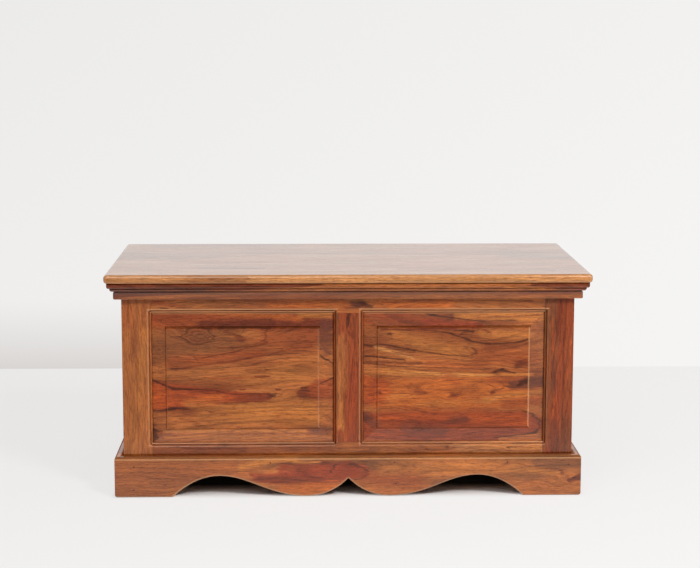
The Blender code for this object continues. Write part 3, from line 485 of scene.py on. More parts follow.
def frame_marks(tree, place, opening):
    """Painted shade in the moulding's groove and against the panel, a painted highlight on the bead and lip,
    and painted shadow lines where the frame meets the cornice and the plinth."""
    distance, upright, right, upper = around(tree, place, opening)
    weight = shaded_side(tree, upright, right)
    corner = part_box("front_post_left")[0]
    into, face = (place["Y"], corner.y) if opening.axis == "X" else (place["X"], corner.x)
    reach = abs(face) * MILLIMETRES - MOULDING_DEPTH
    near = remap(tree, calc(tree, "ABSOLUTE", into), reach - 2, reach)
    marks = []
    for low, high, soft, strength in FRAME_SHADE:
        marks.append((times(tree, band(tree, distance, low, high, soft), near, weight), strength, SHADE_TINT))
    bead = band(tree, distance, GROOVE[1] + 1.2, MOULDING_EDGE + 0.2, 0.6)
    fade = mix_value(tree, upright, mix_value(tree, upper, 0.2, 2.2), mix_value(tree, right, 1.0, 0.25))
    marks.append((times(tree, bead, near, fade), 0.28, HIGHLIGHT_TINT))
    lip = band(tree, distance, 0.4, GROOVE[0], 0.5)
    level = mix_value(tree, upright, mix_value(tree, upper, 0.5, 1.2), 0.0)
    marks.append((times(tree, lip, near, level), 0.40, HIGHLIGHT_TINT))
    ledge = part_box("plinth_front")[1].z * MILLIMETRES
    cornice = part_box("cornice_front")[0].z * MILLIMETRES
    # Painted shadow lines where the frame meets the plinth and under the cornice
    marks.append((band(tree, place["Z"], ledge - 2.0, ledge + 3.6, 0.8), 0.55, SHADE_TINT))
    marks.append((band(tree, place["Z"], cornice - 1.6, cornice + 2.0, 0.9), 0.50, SHADE_TINT))
    return marks


def panel_marks(tree, place, opening):
    """Painted shade round a panel's edge, on its upper bevel, along its field's top edge and at the foot of
    its raised field, a painted sheen on its right bevel, and a painted highlight on its top lip and on the
    right edge of its field."""
    edge, upright, right, upper = around(tree, place, opening)
    field = calc(tree, "ADD", edge, FIELD_INSET)
    top = opening.middle[1] + opening.half[1] - FIELD_INSET
    high = remap(tree, place["Z"], top - 1.5, top - 0.5)
    along_top = mix_value(tree, upright, upper, 0.0)
    pale = times(tree, upright, right, remap(tree, place[opening.axis], -1.0, 1.0, 0.2, 1.0))
    bevel = band(tree, field, FIELD_STEP, FIELD_INSET, 1.0)
    rim = times(tree, band(tree, edge, -2.4, 9.0, 1.0), shaded_side(tree, upright, right))
    lip = times(tree, band(tree, edge, -3.6, 9.0, 0.8), along_top)
    shade = times(tree, bevel, along_top)
    if opening.mirrored:
        shade = times(tree, shade, remap(tree, place["X"], -1.0, 1.0, 1.0, 0.35))
    side = mix_value(tree, upright, 0.6, mix_value(tree, right, 1.0, 0.2))
    step = times(tree, band(tree, field, FIELD_STEP - 0.8, FIELD_STEP + 1.4, 0.8), side)
    return [(rim, 0.50, SHADE_TINT),
            (lip, 0.30, HIGHLIGHT_TINT),
            (shade, 0.26, SHADE_TINT),
            (times(tree, bevel, pale), 0.26, SHEEN_TINT),
            (step, 0.55, SHADE_TINT),
            (times(tree, band(tree, field, -0.4, FIELD_STEP + 1.0, 0.6), high), 0.62, SHADE_TINT),
            (times(tree, band(tree, field, -1.2, 2.2, 0.7), pale), 0.42, HIGHLIGHT_TINT)]


def cornice_marks(tree, place):
    """Painted shade in the cornice's quirks and under the lid, and a painted sheen on its lower half, at
    shares of its height. Faces that look up get none.
    """
    low, high = (corner.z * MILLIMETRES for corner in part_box("cornice_front"))
    facing_up = split(tree, coordinates(tree, "Normal"))[2]
    beside = remap(tree, facing_up, 0.95, 0.75)
    marks = []
    for start, end, strength, tint in CORNICE_LINES:
        levels = (low + share * (high - low) for share in (start, end))
        mask = band(tree, place["Z"], *levels, CORNICE_SOFT)
        marks.append((times(tree, mask, beside), strength, tint))
    return marks


def wood(name, plan, finished=True, opening=None):
    """The material of one board, drawn from its plan, with marks round the opening it borders or fills."""
    material, tree, shader = new_material(name)
    x, y, z = split(tree, object_point(tree, MILLIMETRES))
    place = {"X": x, "Y": y, "Z": z}
    u, v, w = (place[axis] for axis in plan.axes)
    shift = random.Random(plan.seed).uniform(-SEED_REACH, SEED_REACH)
    flat = join(tree, u, v, 0.0)
    solid = join(tree, calc(tree, "ADD", u, shift), calc(tree, "ADD", v, shift * ACROSS_REACH), w)
    wander = use_group(tree, WANDER, Point=solid)
    bent = vector_calc(tree, "SUBTRACT", wander["Point"], (shift, shift * ACROSS_REACH, 0.0))

    field = calc(tree, "ADD", calc(tree, "ADD", v, times(tree, w, RING_LEAN)), wander["Drift"])
    for item in plan.knots:
        field = calc(tree, "ADD", field, knot_lift(tree, flat, item))
    field = calc(tree, "DIVIDE", calc(tree, "ADD", field, shift), plan.ring)
    figure = use_group(tree, FIGURE, Field=field, Point=solid)

    patch_point = vector_calc(tree, "MULTIPLY", solid, (0.004, 0.022, 0.02))
    patches = ease(tree, noise(tree, patch_point, detail=2.0)[0], 0.38, 0.62)
    colour = mix_colour(tree, patches, TONES[plan.tones[0]], TONES[plan.tones[1]])
    for item in plan.strokes:
        colour = mix_colour(tree, streak_mask(tree, bent, item), colour, TONES[item.tone])

    lively = remap(tree, noise(tree, patch_point, scale=1.7, detail=1.0)[0], 0.35, 0.60, 0.35, 1.0)
    ring_strength = times(tree, figure["Rings"], lively, plan.contrast * RING_STRENGTH)
    ringed = mix_colour(tree, ring_strength, colour, LINE_TINT, "MULTIPLY")
    shaded = scaled(tree, ringed, figure["Shade"])
    marks = [(figure["Pores"], PORE_STRENGTH, PORE_TINT)]
    if finished:
        # Painted highlight on rounded edges and beads
        marks.append((rounded_edge(tree), plan.wear, HIGHLIGHT_TINT))
    if opening:
        marks += (panel_marks if "panel" in name else frame_marks)(tree, place, opening)
    if name.startswith("plinth"):
        marks += plinth_marks(tree, place)
    if name.startswith("plinth_front"):
        marks += apron_marks(tree, place)
    if name.startswith("cornice"):
        marks += cornice_marks(tree, place)
    colour, matt = marked(tree, shaded, marks)
    feed(tree, shader.inputs["Base Color"], colour)

    shine = {"Roughness": BARE_ROUGHNESS, "Coat Weight": 0.0, "Specular IOR Level": 0.5}
    if finished:
        shine["Roughness"] = remap(tree, figure["Shade"], 0.8, 1.2, plan.gloss + 0.05, plan.gloss - 0.03)
        shine["Coat Weight"] = plan.coat
    for label, value in shine.items():
        if matt:
            value = mix_value(tree, matt, value, MATT_ROUGHNESS if label == "Roughness" else 0.0)
        feed(tree, shader.inputs[label], value)
    shader.inputs["Coat Roughness"].default_value = COAT_ROUGHNESS
    bump(tree, shader, figure["Height"], 0.0001, 0.4 * (1 - plan.coat) if finished else 1.0)
    return material


def plinth_marks(tree, place):
    """Painted shade on the plinth's narrow top against the frame, and a painted dark line above a painted
    highlight on its rounded front edge.
    """
    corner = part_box("front_post_left")[0] * MILLIMETRES
    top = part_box("plinth_front")[1].z * MILLIMETRES
    beside = calc(tree, "SUBTRACT", calc(tree, "ABSOLUTE", place["X"]), -corner.x)
    ahead = calc(tree, "SUBTRACT", corner.y, place["Y"])
    behind = band(tree, calc(tree, "MAXIMUM", beside, ahead), -1.0, 7.0, 2.0)
    ledge = remap(tree, place["Z"], top - 1.0, top - 0.4)
    return [(times(tree, behind, ledge), 0.45, SHADE_TINT),
            (band(tree, place["Z"], top - 3.8, top - 0.4, 0.5), 0.65, SHADE_TINT),
            (band(tree, place["Z"], top - 7.4, top - 4.6, 0.8), 0.60, HIGHLIGHT_TINT)]


def bezier(steps, *corners):
    """Places along the curve that four corners steer."""
    places = []
    for i in range(steps + 1):
        share = i / steps
        rest = 1 - share
        weights = (rest ** 3, 3 * share * rest ** 2, 3 * share ** 2 * rest, share ** 3)
        places.append(tuple(sum(weight * corner[axis] for weight, corner in zip(weights, corners))
                            for axis in (0, 1)))
    return places


def apron_marks(tree, place):
    """A painted highlight along the rounded lower edge of the plinth's front, paler on the left."""
    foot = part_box("plinth_front")[1].x * MILLIMETRES - FOOT_WIDTH
    crown = foot - ARCH_RUN
    fall = crown - LOBE_MIDDLE
    rise = bezier(5, (foot, 0), (foot - FOOT_PULL[0] * ARCH_RUN, FOOT_PULL[1] * ARCH_RISE),
                  (foot - FOOT_PULL[2] * ARCH_RUN, ARCH_RISE), (crown, ARCH_RISE))
    drop = bezier(6, (crown, ARCH_RISE), (crown - FALL_PULL[0] * fall, ARCH_RISE),
                  (LOBE_MIDDLE + FALL_PULL[1] * fall, 0), (LOBE_MIDDLE, 0))
    cusp = bezier(4, (LOBE_MIDDLE, 0), (CUSP_PULL[0] * LOBE_MIDDLE, 0),
                  (CUSP_PULL[1] * LOBE_MIDDLE, CUSP_PULL[2] * CUSP_HEIGHT), (0, CUSP_HEIGHT))
    point = join(tree, calc(tree, "ABSOLUTE", place["X"]), place["Z"], 0.0)
    mask = 0.0
    for line in (rise, drop, cusp):
        for start, end in zip(line, line[1:]):
            item = Stroke(None, (*start, 0.0), (*end, 0.0), (EDGE_LIGHT, EDGE_LIGHT), 0.0, 0.35, 1.0)
            mask = calc(tree, "MAXIMUM", mask, streak_mask(tree, point, item))
    side = remap(tree, place["X"], 40.0, -40.0, 0.35, 1.0)
    return [(times(tree, mask, side), 0.42, HIGHLIGHT_TINT)]


def rounded_edge(tree):
    """1 on a surface that slants between the axes, as the rounded edges and beads do."""
    x, y, z = (calc(tree, "ABSOLUTE", part) for part in split(tree, coordinates(tree, "Normal")))
    largest = calc(tree, "MAXIMUM", calc(tree, "MAXIMUM", x, y), z)
    return ease(tree, largest, 0.95, 0.75)


# Boards of the front, with what the photograph shows on each. A row reads tone, start, end, half width at
# either end, then how soft and how strong it is and how far it bends. A knot reads place, size and lift.

LEFT_PANEL = board(ALONG_X, ("tan", "brown"), 0.62, ring=10.0, seed=11, knots=[
    (-320, 400, 210, 80, 52), (-340, 371, 44, 22, 34), (-252, 372, 34, 17, 24), (-180, 384, 26, 16, 18),
    (-110, 300, 120, 50, -22), (-172, 232, 30, 12, 10),
], strokes=[
    ("grey_brown", -440, 345, -290, 350, 46, 40, 0.6, 0.8), ("russet", -180, 372, -75, 368, 24, 24, 0.6, 0.7),
    ("russet", -400, 308, -200, 330, 14, 10, 0.5, 0.8), ("gold", -230, 275, -80, 300, 14, 24, 0.6, 0.7),
    ("gold", -330, 190, -75, 185, 18, 16, 0.7, 0.6), ("gold", -225, 203, -80, 199, 22, 26, 0.6, 0.8),
    ("amber", -150, 177, -75, 172, 14, 14, 0.6, 0.8), ("tan", -440, 284, -190, 278, 13, 14, 0.6, 0.7),
    # The two upright tan strokes at x -52 are painted light: the right bevel, which faces the light, drawn
    # lighter.
    ("tan", -52, 222, -52, 165, 20, 20, 0.6, 0.9), ("tan", -52, 340, -52, 285, 18, 18, 0.6, 0.9),
    ("russet", -445, 404, -40, 402, 15, 15, 0.4), ("maroon", -330, 397, -40, 396, 9, 13, 0.4),
    ("russet", -445, 414, -300, 416, 8, 7, 0.5), ("amber", -320, 421, -110, 408, 4, 8, 0.7, 0.8, 4),
    ("gold", -110, 420, -40, 416, 6, 7), ("dark", -300, 391, -175, 389, 4, 2, 0.5, 0.8),
    ("purple", -52, 398, -50, 335, 15, 13, 0.4, 0.8), ("dark", -68, 326, -38, 306, 3, 3, 0.5),
    ("red", -455, 231, -175, 230, 36, 6, 0.1, 1, -2), ("orange", -460, 230, -418, 230, 30, 26, 0.12),
    ("orange", -430, 232, -230, 230, 24, 6, 0.6, 0.7, -2), ("maroon", -412, 235, -350, 232, 11, 7, 0.6, 0.4),
    ("amber", -372, 220, -292, 231, 6, 8, 0.95, 0.7, -3), ("maroon", -255, 230, -180, 230, 9, 8, 0.6, 0.5),
    ("dark", -450, 268, -395, 250, 2.4, 3.2, 0.5, 1, -1), ("dark", -400, 249, -290, 243, 3.4, 2, 0.5, 1, 2),
    ("maroon", -300, 242, -180, 238, 2.4, 1.6, 0.5, 1, -3), ("dark", -450, 195, -395, 203, 2.2, 3.4, 0.5),
    ("dark", -400, 204, -335, 206, 3.4, 2.4, 0.5), ("maroon", -340, 206, -190, 221, 2.4, 1.4, 0.5, 1, 2),
    ("dark", -178, 232, -166, 233, 6, 5, 0.4, 0.8), ("maroon", -104, 240, -70, 240, 13, 16, 0.3),
    ("dark", -110, 250, -68, 256, 3, 4, 0.5), ("russet", -68, 247, -30, 246, 24, 26, 0.15),
    ("dark", -70, 258, -36, 273, 2.5, 2, 0.5), ("brown", -450, 175, -425, 160, 22, 22, 0.5, 0.6),
    ("dark", -446, 158, -438, 128, 9, 6, 0.4), ("purple", -78, 152, -45, 150, 10, 10, 0.5, 0.8),
    ("gold", -420, 150, -100, 149, 4, 4), ("brown", -430, 142, -80, 143, 2, 2, 0.5, 0.6),
    ("gold", -420, 135, -100, 135, 3, 3, 0.6, 0.8), ("brown", -380, 178, -330, 162, 5, 2, 0.6, 0.6),
    ("brown", -402, 307, -362, 305, 12, 9, 0.6, 0.8), ("brown", -106, 306, -74, 304, 12, 12, 0.6, 0.6),
    ("gold", -142, 178, -76, 175, 14, 14, 0.6, 0.8), ("gold", -360, 212, -250, 206, 8, 8, 0.6, 0.6),
    ("dark", -400, 296, -372, 297, 3, 2.5, 0.5, 0.8), ("dark", -346, 322, -342, 312, 3.2, 1.6, 0.5, 0.7),
    *loop("dark", -341, 371, 72, 36, 2.9, 0.8), *loop("maroon", -340, 371, 48, 23, 2.2, 0.8),
    *loop("maroon", -336, 371, 24, 10, 2.6, 0.9), ("grey_brown", -345, 371, -330, 372, 7, 7, 0.6, 0.7),
    ("maroon", -275, 384, -238, 362, 6, 4, 0.6, 0.8, -4), ("dark", -262, 376, -250, 368, 3, 2, 0.6, 0.7),
    ("maroon", -172, 392, -185, 358, 4.5, 2.5, 0.6, 0.8, -9),
    ("maroon", -180, 360, -335, 320, 2.4, 2, 0.6, 0.8, 5),
    ("maroon", -300, 342, -185, 362, 2, 2, 0.6, 0.6, -6),
    ("maroon", -75, 346, -175, 330, 1.8, 2.4, 0.6, 0.7, -3),
    ("maroon", -175, 330, -390, 297, 2.4, 2.6, 0.6, 0.8, 4), ("russet", -325, 273, -180, 277, 2, 2, 0.6, 0.7),
    ("maroon", -230, 290, -190, 290, 6, 3, 0.7, 0.5), ("dark", -188, 293, -184, 293, 3, 3, 0.4),
    ("maroon", -240, 247, -234, 247, 2.6, 2.6, 0.4), ("maroon", -168, 246, -160, 246, 3.4, 2.6, 0.4),
    ("maroon", -318, 195, -314, 195, 2.6, 2.6, 0.5), ("maroon", -210, 276, -180, 277, 2.6, 2, 0.6, 0.7),
])

RIGHT_PANEL = board(ALONG_X, ("tan", "brown"), 0.62, ring=8.0, seed=23, knots=[
    (150, 392, 150, 40, 28), (272, 374, 40, 15, 22), (285, 334, 46, 16, 16), (163, 240, 24, 12, 14),
    (245, 231, 24, 12, 16), (326, 237, 34, 10, 12), (390, 303, 34, 16, 20), (190, 150, 70, 24, 26),
    (400, 262, 46, 18, 22),
], strokes=[
    ("gold", 110, 368, 285, 333, 18, 20, 0.6, 0.55, -6), ("gold", 150, 352, 235, 336, 8, 8, 0.8, 0.6),
    ("gold", 310, 372, 410, 372, 9, 8, 0.6, 0.7), ("russet", 300, 322, 412, 318, 20, 24, 0.5, 0.8),
    ("russet", 36, 408, 190, 403, 16, 9, 0.5), ("maroon", 60, 396, 240, 392, 8, 6, 0.6, 0.5),
    ("russet", 36, 415, 140, 420, 7, 4, 0.4), ("red", 170, 402, 300, 393, 9, 6, 0.5),
    ("gold", 250, 416, 446, 412, 9, 13, 0.35), ("dark", 175, 421, 292, 403, 2.4, 2, 0.5, 1, -1),
    ("dark", 292, 403, 380, 404, 2, 1.4, 0.5, 0.8, -1), ("brown", 300, 411, 446, 417, 1.8, 1.8, 0.6, 0.8, -1),
    ("brown", 320, 398, 446, 400, 2.6, 2, 0.6, 0.8), ("brown", 36, 370, 66, 366, 22, 22, 0.4, 0.8),
    ("brown", 44, 410, 74, 392, 10, 10, 0.6, 0.8), ("dark", 36, 348, 70, 346, 3, 3, 0.5, 0.8),
    ("cream", 66, 342, 150, 318, 5, 4, 0.5, 0.8, 1), ("dark", 72, 352, 152, 336, 2.8, 2, 0.5, 1, -1),
    ("dark", 150, 337, 268, 322, 2, 1.8, 0.5, 0.8, -1), ("dark", 268, 322, 292, 336, 1.8, 2.6, 0.5, 0.8, -5),
    ("dark", 292, 336, 262, 344, 2.4, 1.2, 0.5, 0.7, -3), ("brown", 100, 333, 150, 322, 2.4, 1.8, 0.5),
    ("dark", 36, 322, 130, 314, 2.2, 2.4, 0.5, 1, 1), ("brown", 40, 309, 160, 306, 6, 3),
    ("dark", 60, 303, 230, 296, 2, 1.4, 0.5, 0.8, -1), ("dark", 60, 298, 400, 281, 1.8, 1.4, 0.5, 0.6, -3),
    ("dark", 165, 383, 232, 374, 2, 2, 0.5, 0.8, 1), ("dark", 232, 374, 300, 352, 2.6, 3, 0.5),
    ("dark", 300, 353, 412, 361, 3.4, 2.2, 0.5, 1, -5), ("brown", 236, 366, 330, 344, 2.4, 2, 0.5, 1, -1),
    ("brown", 330, 344, 412, 349, 2, 2, 0.5, 1, -3), ("dark", 240, 381, 286, 379, 1.8, 3, 0.5, 0.8, 2),
    ("dark", 286, 379, 250, 368, 3.4, 1.6, 0.5, 0.8, -5), ("brown", 300, 384, 330, 372, 2.4, 1.6, 0.5, 1, 2),
    ("dark", 88, 375, 96, 375, 3.4, 3.4, 0.4), ("maroon", 72, 384, 240, 387, 2.6, 3.4, 0.5, 0.9),
    ("russet", 180, 306, 300, 300, 12, 10, 0.6, 0.6), ("gold", 74, 288, 414, 279, 7, 4, 0.3, 0.9, -4),
    ("cream", 130, 284, 330, 278, 3, 2.2, 0.5, 0.5, -1), ("amber", 74, 236, 414, 236, 36, 36, 0.1),
    ("orange", 36, 246, 66, 240, 34, 32, 0.2), ("tan", 36, 290, 62, 288, 11, 11, 0.3, 0.9),
    ("gold", 190, 219, 320, 216, 4, 4, 0.6, 0.8), ("brown", 316, 290, 348, 287, 6, 6, 0.6, 0.8),
    ("gold", 90, 229, 150, 230, 8, 4, 0.8, 0.5), ("gold", 315, 222, 446, 236, 7, 8, 0.5, 1, 1),
    ("russet", 325, 268, 415, 262, 8, 10, 0.6, 0.8), ("amber", 140, 208, 270, 206, 14, 14, 0.6, 0.9),
    ("gold", 160, 210, 248, 206, 8, 8, 0.6, 0.5), ("brown", 336, 275, 366, 268, 7, 7, 0.6, 0.6),
    ("russet", 215, 282, 250, 262, 9, 9, 0.6, 0.6), ("russet", 360, 212, 446, 214, 13, 17, 0.5, 0.8),
    ("russet", 74, 199, 330, 198, 6, 6, 0.6, 0.6), ("brown", 290, 264, 410, 262, 2.2, 6, 0.5, 0.8),
    ("purple", 378, 256, 446, 262, 12, 15, 0.3), ("dark", 392, 258, 412, 266, 7, 4, 0.5),
    ("dark", 330, 284, 352, 291, 2.6, 4.2, 0.4), ("dark", 352, 291, 378, 281, 4.2, 1.4, 0.4),
    ("maroon", 386, 303, 402, 308, 9, 8), ("dark", 382, 298, 444, 306, 1.8, 1.8, 0.5, 0.6),
    ("maroon", 156, 240, 170, 240, 6, 5, 0.9, 0.8), ("maroon", 238, 232, 252, 231, 5.5, 5, 0.8, 0.9),
    ("dark", 244, 230, 248, 232, 2, 2, 0.5), ("maroon", 322, 236, 336, 239, 3.4, 3),
    ("brown", 330, 240, 368, 252, 2.2, 1.6, 0.5), ("maroon", 64, 238, 70, 239, 4.2, 4.2, 0.5),
    ("red", 50, 236, 62, 262, 6, 6, 0.6, 0.7), ("red", 40, 212, 60, 224, 7, 7, 0.6, 0.6),
    ("red", 30, 158, 450, 156, 34, 36, 0.12, 1, 2), ("orange", 66, 180, 240, 182, 10, 10, 0.6, 0.7),
    ("maroon", 72, 172, 260, 168, 4, 6, 0.7, 0.6), ("purple", 140, 152, 215, 146, 18, 14, 0.6, 0.75),
    ("purple", 230, 172, 290, 176, 9, 5, 0.6, 0.7), ("purple", 40, 182, 64, 160, 12, 10, 0.4),
    ("orange", 290, 178, 410, 172, 15, 13, 0.5, 0.9), ("russet", 70, 156, 110, 146, 12, 10, 0.7, 0.7),
    ("russet", 250, 146, 380, 142, 12, 8, 0.7, 0.6), ("maroon", 330, 155, 410, 158, 1.8, 1.8, 0.5),
    ("tan", 418, 196, 450, 190, 10, 14, 0.3), ("tan", 346, 126, 450, 132, 6, 14, 0.25),
    ("dark", 400, 194, 436, 172, 2.6, 3.6, 0.5, 1, 3), ("dark", 436, 172, 424, 142, 3.6, 3, 0.5, 1, 8),
    ("dark", 424, 142, 330, 130, 3, 1.8, 0.5, 1, 1),
])

# Strokes of the uprights read as height first, then place across.
LEFT_POST = board(UP_FRONT, ("tan", "tan"), 0.5, ring=7.0, seed=31, knots=[
    (340, -492, 60, 10, 12), (180, -470, 90, 14, -10),
], strokes=[
    ("grey_brown", 90, -487, 460, -487, 30, 30, 0.6, 0.35), ("gold", 90, -490, 330, -470, 9, 7, 0.8, 0.6),
    ("gold", 280, -466, 410, -462, 5, 4, 0.7, 0.8), ("brown", 330, -488, 400, -484, 7, 5, 0.8, 0.6),
    ("russet", 400, -500, 460, -500, 12, 12, 0.7, 0.5), ("brown", 395, -460, 456, -458, 10, 10, 0.6, 0.7),
    ("brown", 110, -478, 300, -482, 2.4, 2, 0.6, 0.6), ("brown", 330, -496, 332, -492, 5, 3, 0.6, 0.7),
])

RIGHT_POST = board(UP_FRONT, ("russet", "grey_brown"), 0.55, ring=6.5, seed=37, knots=[
    (290, 478, 80, 12, 16),
], strokes=[
    ("red", 110, 480, 450, 484, 30, 30, 0.6, 0.25), ("purple", 110, 490, 290, 490, 24, 24, 0.6, 0.35),
    ("orange", 330, 467, 412, 462, 2.6, 2.2, 0.5), ("orange", 280, 507, 360, 508, 3.4, 3, 0.6, 0.8),
    ("orange", 185, 471, 222, 473, 2.2, 2.2, 0.6, 0.9), ("purple", 250, 470, 310, 468, 6, 5, 0.6, 0.7),
    ("maroon", 380, 478, 450, 482, 7, 5, 0.7, 0.8), ("purple", 110, 474, 170, 470, 9, 6, 0.7, 0.7),
    ("maroon", 120, 492, 380, 490, 3, 2, 0.6, 0.6), ("russet", 180, 500, 420, 502, 5, 4, 0.7, 0.7),
])

MUNTIN = board(UP_FRONT, ("russet", "brown"), 0.5, ring=6.5, seed=41, knots=[
    (398, 0, 36, 12, 20), (300, -20, 90, 14, -12),
], strokes=[
    ("russet", 250, 8, 430, 5, 24, 26, 0.5, 0.8), ("gold", 350, -25, 160, -18, 2.2, 10, 0.5, 0.9, -2),
    ("brown", 360, -22, 150, -6, 1.8, 2.2, 0.5, 0.8, -2), ("red", 126, 12, 300, 10, 12, 9, 0.6, 0.8),
    ("maroon", 440, -2, 405, 0, 9, 5, 0.5), ("dark", 410, -1, 392, 0, 5.5, 4.5, 0.5),
    ("maroon", 300, 20, 306, 19, 3.4, 3.4, 0.5), ("brown", 126, 24, 420, 23, 2, 2, 0.6, 0.6),
    ("tan", 365, -15, 255, -16, 11, 11), ("maroon", 358, -8, 372, -4, 5, 3, 0.7, 0.6),
])

TOP_RAIL = board(ALONG_X, ("tan", "russet"), 0.65, ring=7.0, seed=43, knots=[
    (-415, 434, 40, 12, 14), (14, 444, 60, 18, 24), (-230, 442, 90, 14, -10),
], strokes=[
    ("tan", -440, 444, -100, 442, 16, 14, 0.7, 0.6), ("gold", -110, 452, -8, 444, 4, 3, 0.5, 1, 1),
    ("gold", -70, 436, 0, 440, 3, 3, 0.6, 0.8), ("russet", -445, 450, -370, 438, 5, 3),
    ("dark", -424, 435, -410, 434, 3, 2.4, 0.5), ("purple", 0, 441, 30, 446, 9, 11, 0.35),
    ("dark", 28, 448, 46, 436, 6, 4, 0.5, 0.8), ("grey_brown", -445, 440, -200, 440, 6, 6, 0.6, 0.5),
    # The gold stroke along z 455 on the right half is painted light: it lightens the rail just under the
    # cornice, where the cornice's shadow falls.
    ("grey_brown", 240, 440, 445, 440, 6, 6, 0.6, 0.5), ("gold", 0, 455, 445, 455, 5, 5, 0.6, 0.7),
    ("amber", -175, 447, -4, 445, 12, 10), ("amber", 75, 445, 230, 445, 10, 10, 0.6, 0.8),
    ("brown", 120, 452, 420, 450, 2.2, 2.2, 0.6, 0.7), ("brown", -300, 438, -130, 446, 2.2, 2.2, 0.6, 0.7),
    ("gold", 200, 436, 440, 434, 3, 5, 0.6, 0.2), ("black", 345, 428, 368, 428, 1.6, 1.6, 0.4),
])

BOTTOM_RAIL = board(ALONG_X, ("brown", "tan"), 0.6, ring=5.5, seed=47, knots=[
    (210, 106, 60, 10, 12), (-300, 108, 80, 10, 10),
], strokes=[
    ("honey", 250, 108, 445, 112, 12, 14, 0.6, 0.5), ("brown", -76, 110, -32, 110, 12, 12, 0.6, 0.8),
    ("brown", 100, 110, 235, 110, 11, 11, 0.6, 0.3), ("gold", 300, 116, 445, 110, 5, 10, 0.6, 0.8),
    ("brown", -440, 106, -180, 106, 12, 10, 0.7, 0.8), ("maroon", -380, 112, -230, 109, 3, 2, 0.6, 0.7),
    ("dark", 180, 106, 226, 104, 3, 2, 0.6, 0.7), ("dark", 222, 111, 226, 111, 2.4, 2.4, 0.5),
    ("brown", 300, 103, 440, 101, 2, 2, 0.5, 0.7), ("dark", 368, 108, 374, 110, 2.2, 2.2, 0.5),
    ("brown", -160, 112, 40, 110, 3, 2, 0.6, 0.7),
])

PLINTH = board(ALONG_X, ("tan", "grey_brown"), 0.45, ring=8.5, seed=53, coat=0.3, wear=0.5, knots=[
    (0, 58, 90, 26, 30), (110, 66, 44, 18, 22), (360, 78, 60, 16, 18), (530, 40, 60, 22, 30),
    (-300, 90, 160, 30, 14), (430, 44, 80, 24, -14),
], strokes=[
    ("tan", -530, 50, -250, 60, 44, 30, 0.5, 0.6), ("russet", -530, 50, -240, 66, 40, 26, 0.6, 0.3),
    ("gold", -245, 70, -120, 90, 9, 6, 0.35, 1, 3), ("red", -215, 47, -5, 58, 10, 25, 0.18, 1, -8),
    ("red", -150, 62, 30, 60, 16, 18, 0.2), ("maroon", -210, 44, -60, 36, 6, 9, 0.6, 0.8),
    ("amber", -150, 20, -20, 24, 11, 12, 0.5), ("gold", -125, 82, -60, 84, 4, 3, 0.5, 1, -3),
    ("maroon", -60, 80, 20, 74, 7, 4, 0.6, 0.8), ("dark", -30, 75, -37, 56, 3.2, 2.2, 0.4),
    ("dark", -150, 78, -60, 76, 1.6, 1.6, 0.5, 0.7, 3), ("dark", 0, 78, 42, 60, 3.2, 4, 0.5, 0.9, 5),
    ("dark", 42, 60, 20, 40, 4, 1.8, 0.5, 0.9, 5), ("russet", 40, 45, 150, 40, 16, 24, 0.7, 0.7),
    ("gold", 80, 66, 400, 66, 14, 18, 0.6, 0.6), ("brown", 60, 50, 140, 52, 1.6, 2.4, 0.5, 0.7, -3),
    ("brown", 140, 54, 152, 80, 2.4, 1.6, 0.5, 0.7, -3), ("brown", 60, 50, 120, 78, 1.6, 1.6, 0.6, 0.5, 8),
    ("maroon", 102, 30, 112, 31, 3.4, 3.4, 0.8, 0.7), ("brown", 340, 66, 372, 80, 4, 3, 0.6, 0.7),
    ("brown", 380, 78, 470, 64, 2.2, 2, 0.5, 0.7, -4), ("gold", 420, 60, 480, 52, 7, 5, 0.6, 0.8),
    ("brown", 470, 66, 506, 38, 2.4, 3, 0.5, 0.9, 3), ("maroon", 534, 46, 504, 34, 9, 3, 0.4),
    ("dark", 504, 36, 520, 44, 2.6, 2.4, 0.5, 0.8), ("tan", 400, 20, 525, 16, 12, 12, 0.6, 0.7),
    ("brown", 402, 34, 480, 22, 2, 2, 0.5, 0.6, 2),
])

CORNICE = board(ALONG_X, ("tan", "brown"), 0.5, ring=6.0, seed=59, knots=[
    (-60, 470, 300, 30, 16),
], strokes=[
    ("maroon", -550, 486, -60, 493, 17, 3, 0.25, 1, -2), ("purple", -550, 476, -330, 482, 12, 7, 0.4),
    ("dark", -430, 486, -170, 489, 3.4, 2, 0.6, 0.7), ("tan", -460, 461, -60, 478, 3, 9, 0.35, 1, 2),
    ("grey_brown", 100, 470, 330, 476, 9, 6, 0.8, 0.6), ("gold", 350, 487, 440, 480, 3, 2, 0.5, 1, -1),
    ("maroon", 410, 492, 550, 484, 4, 17, 0.3), ("tan", 360, 462, 520, 460, 6, 5, 0.6, 0.8),
])


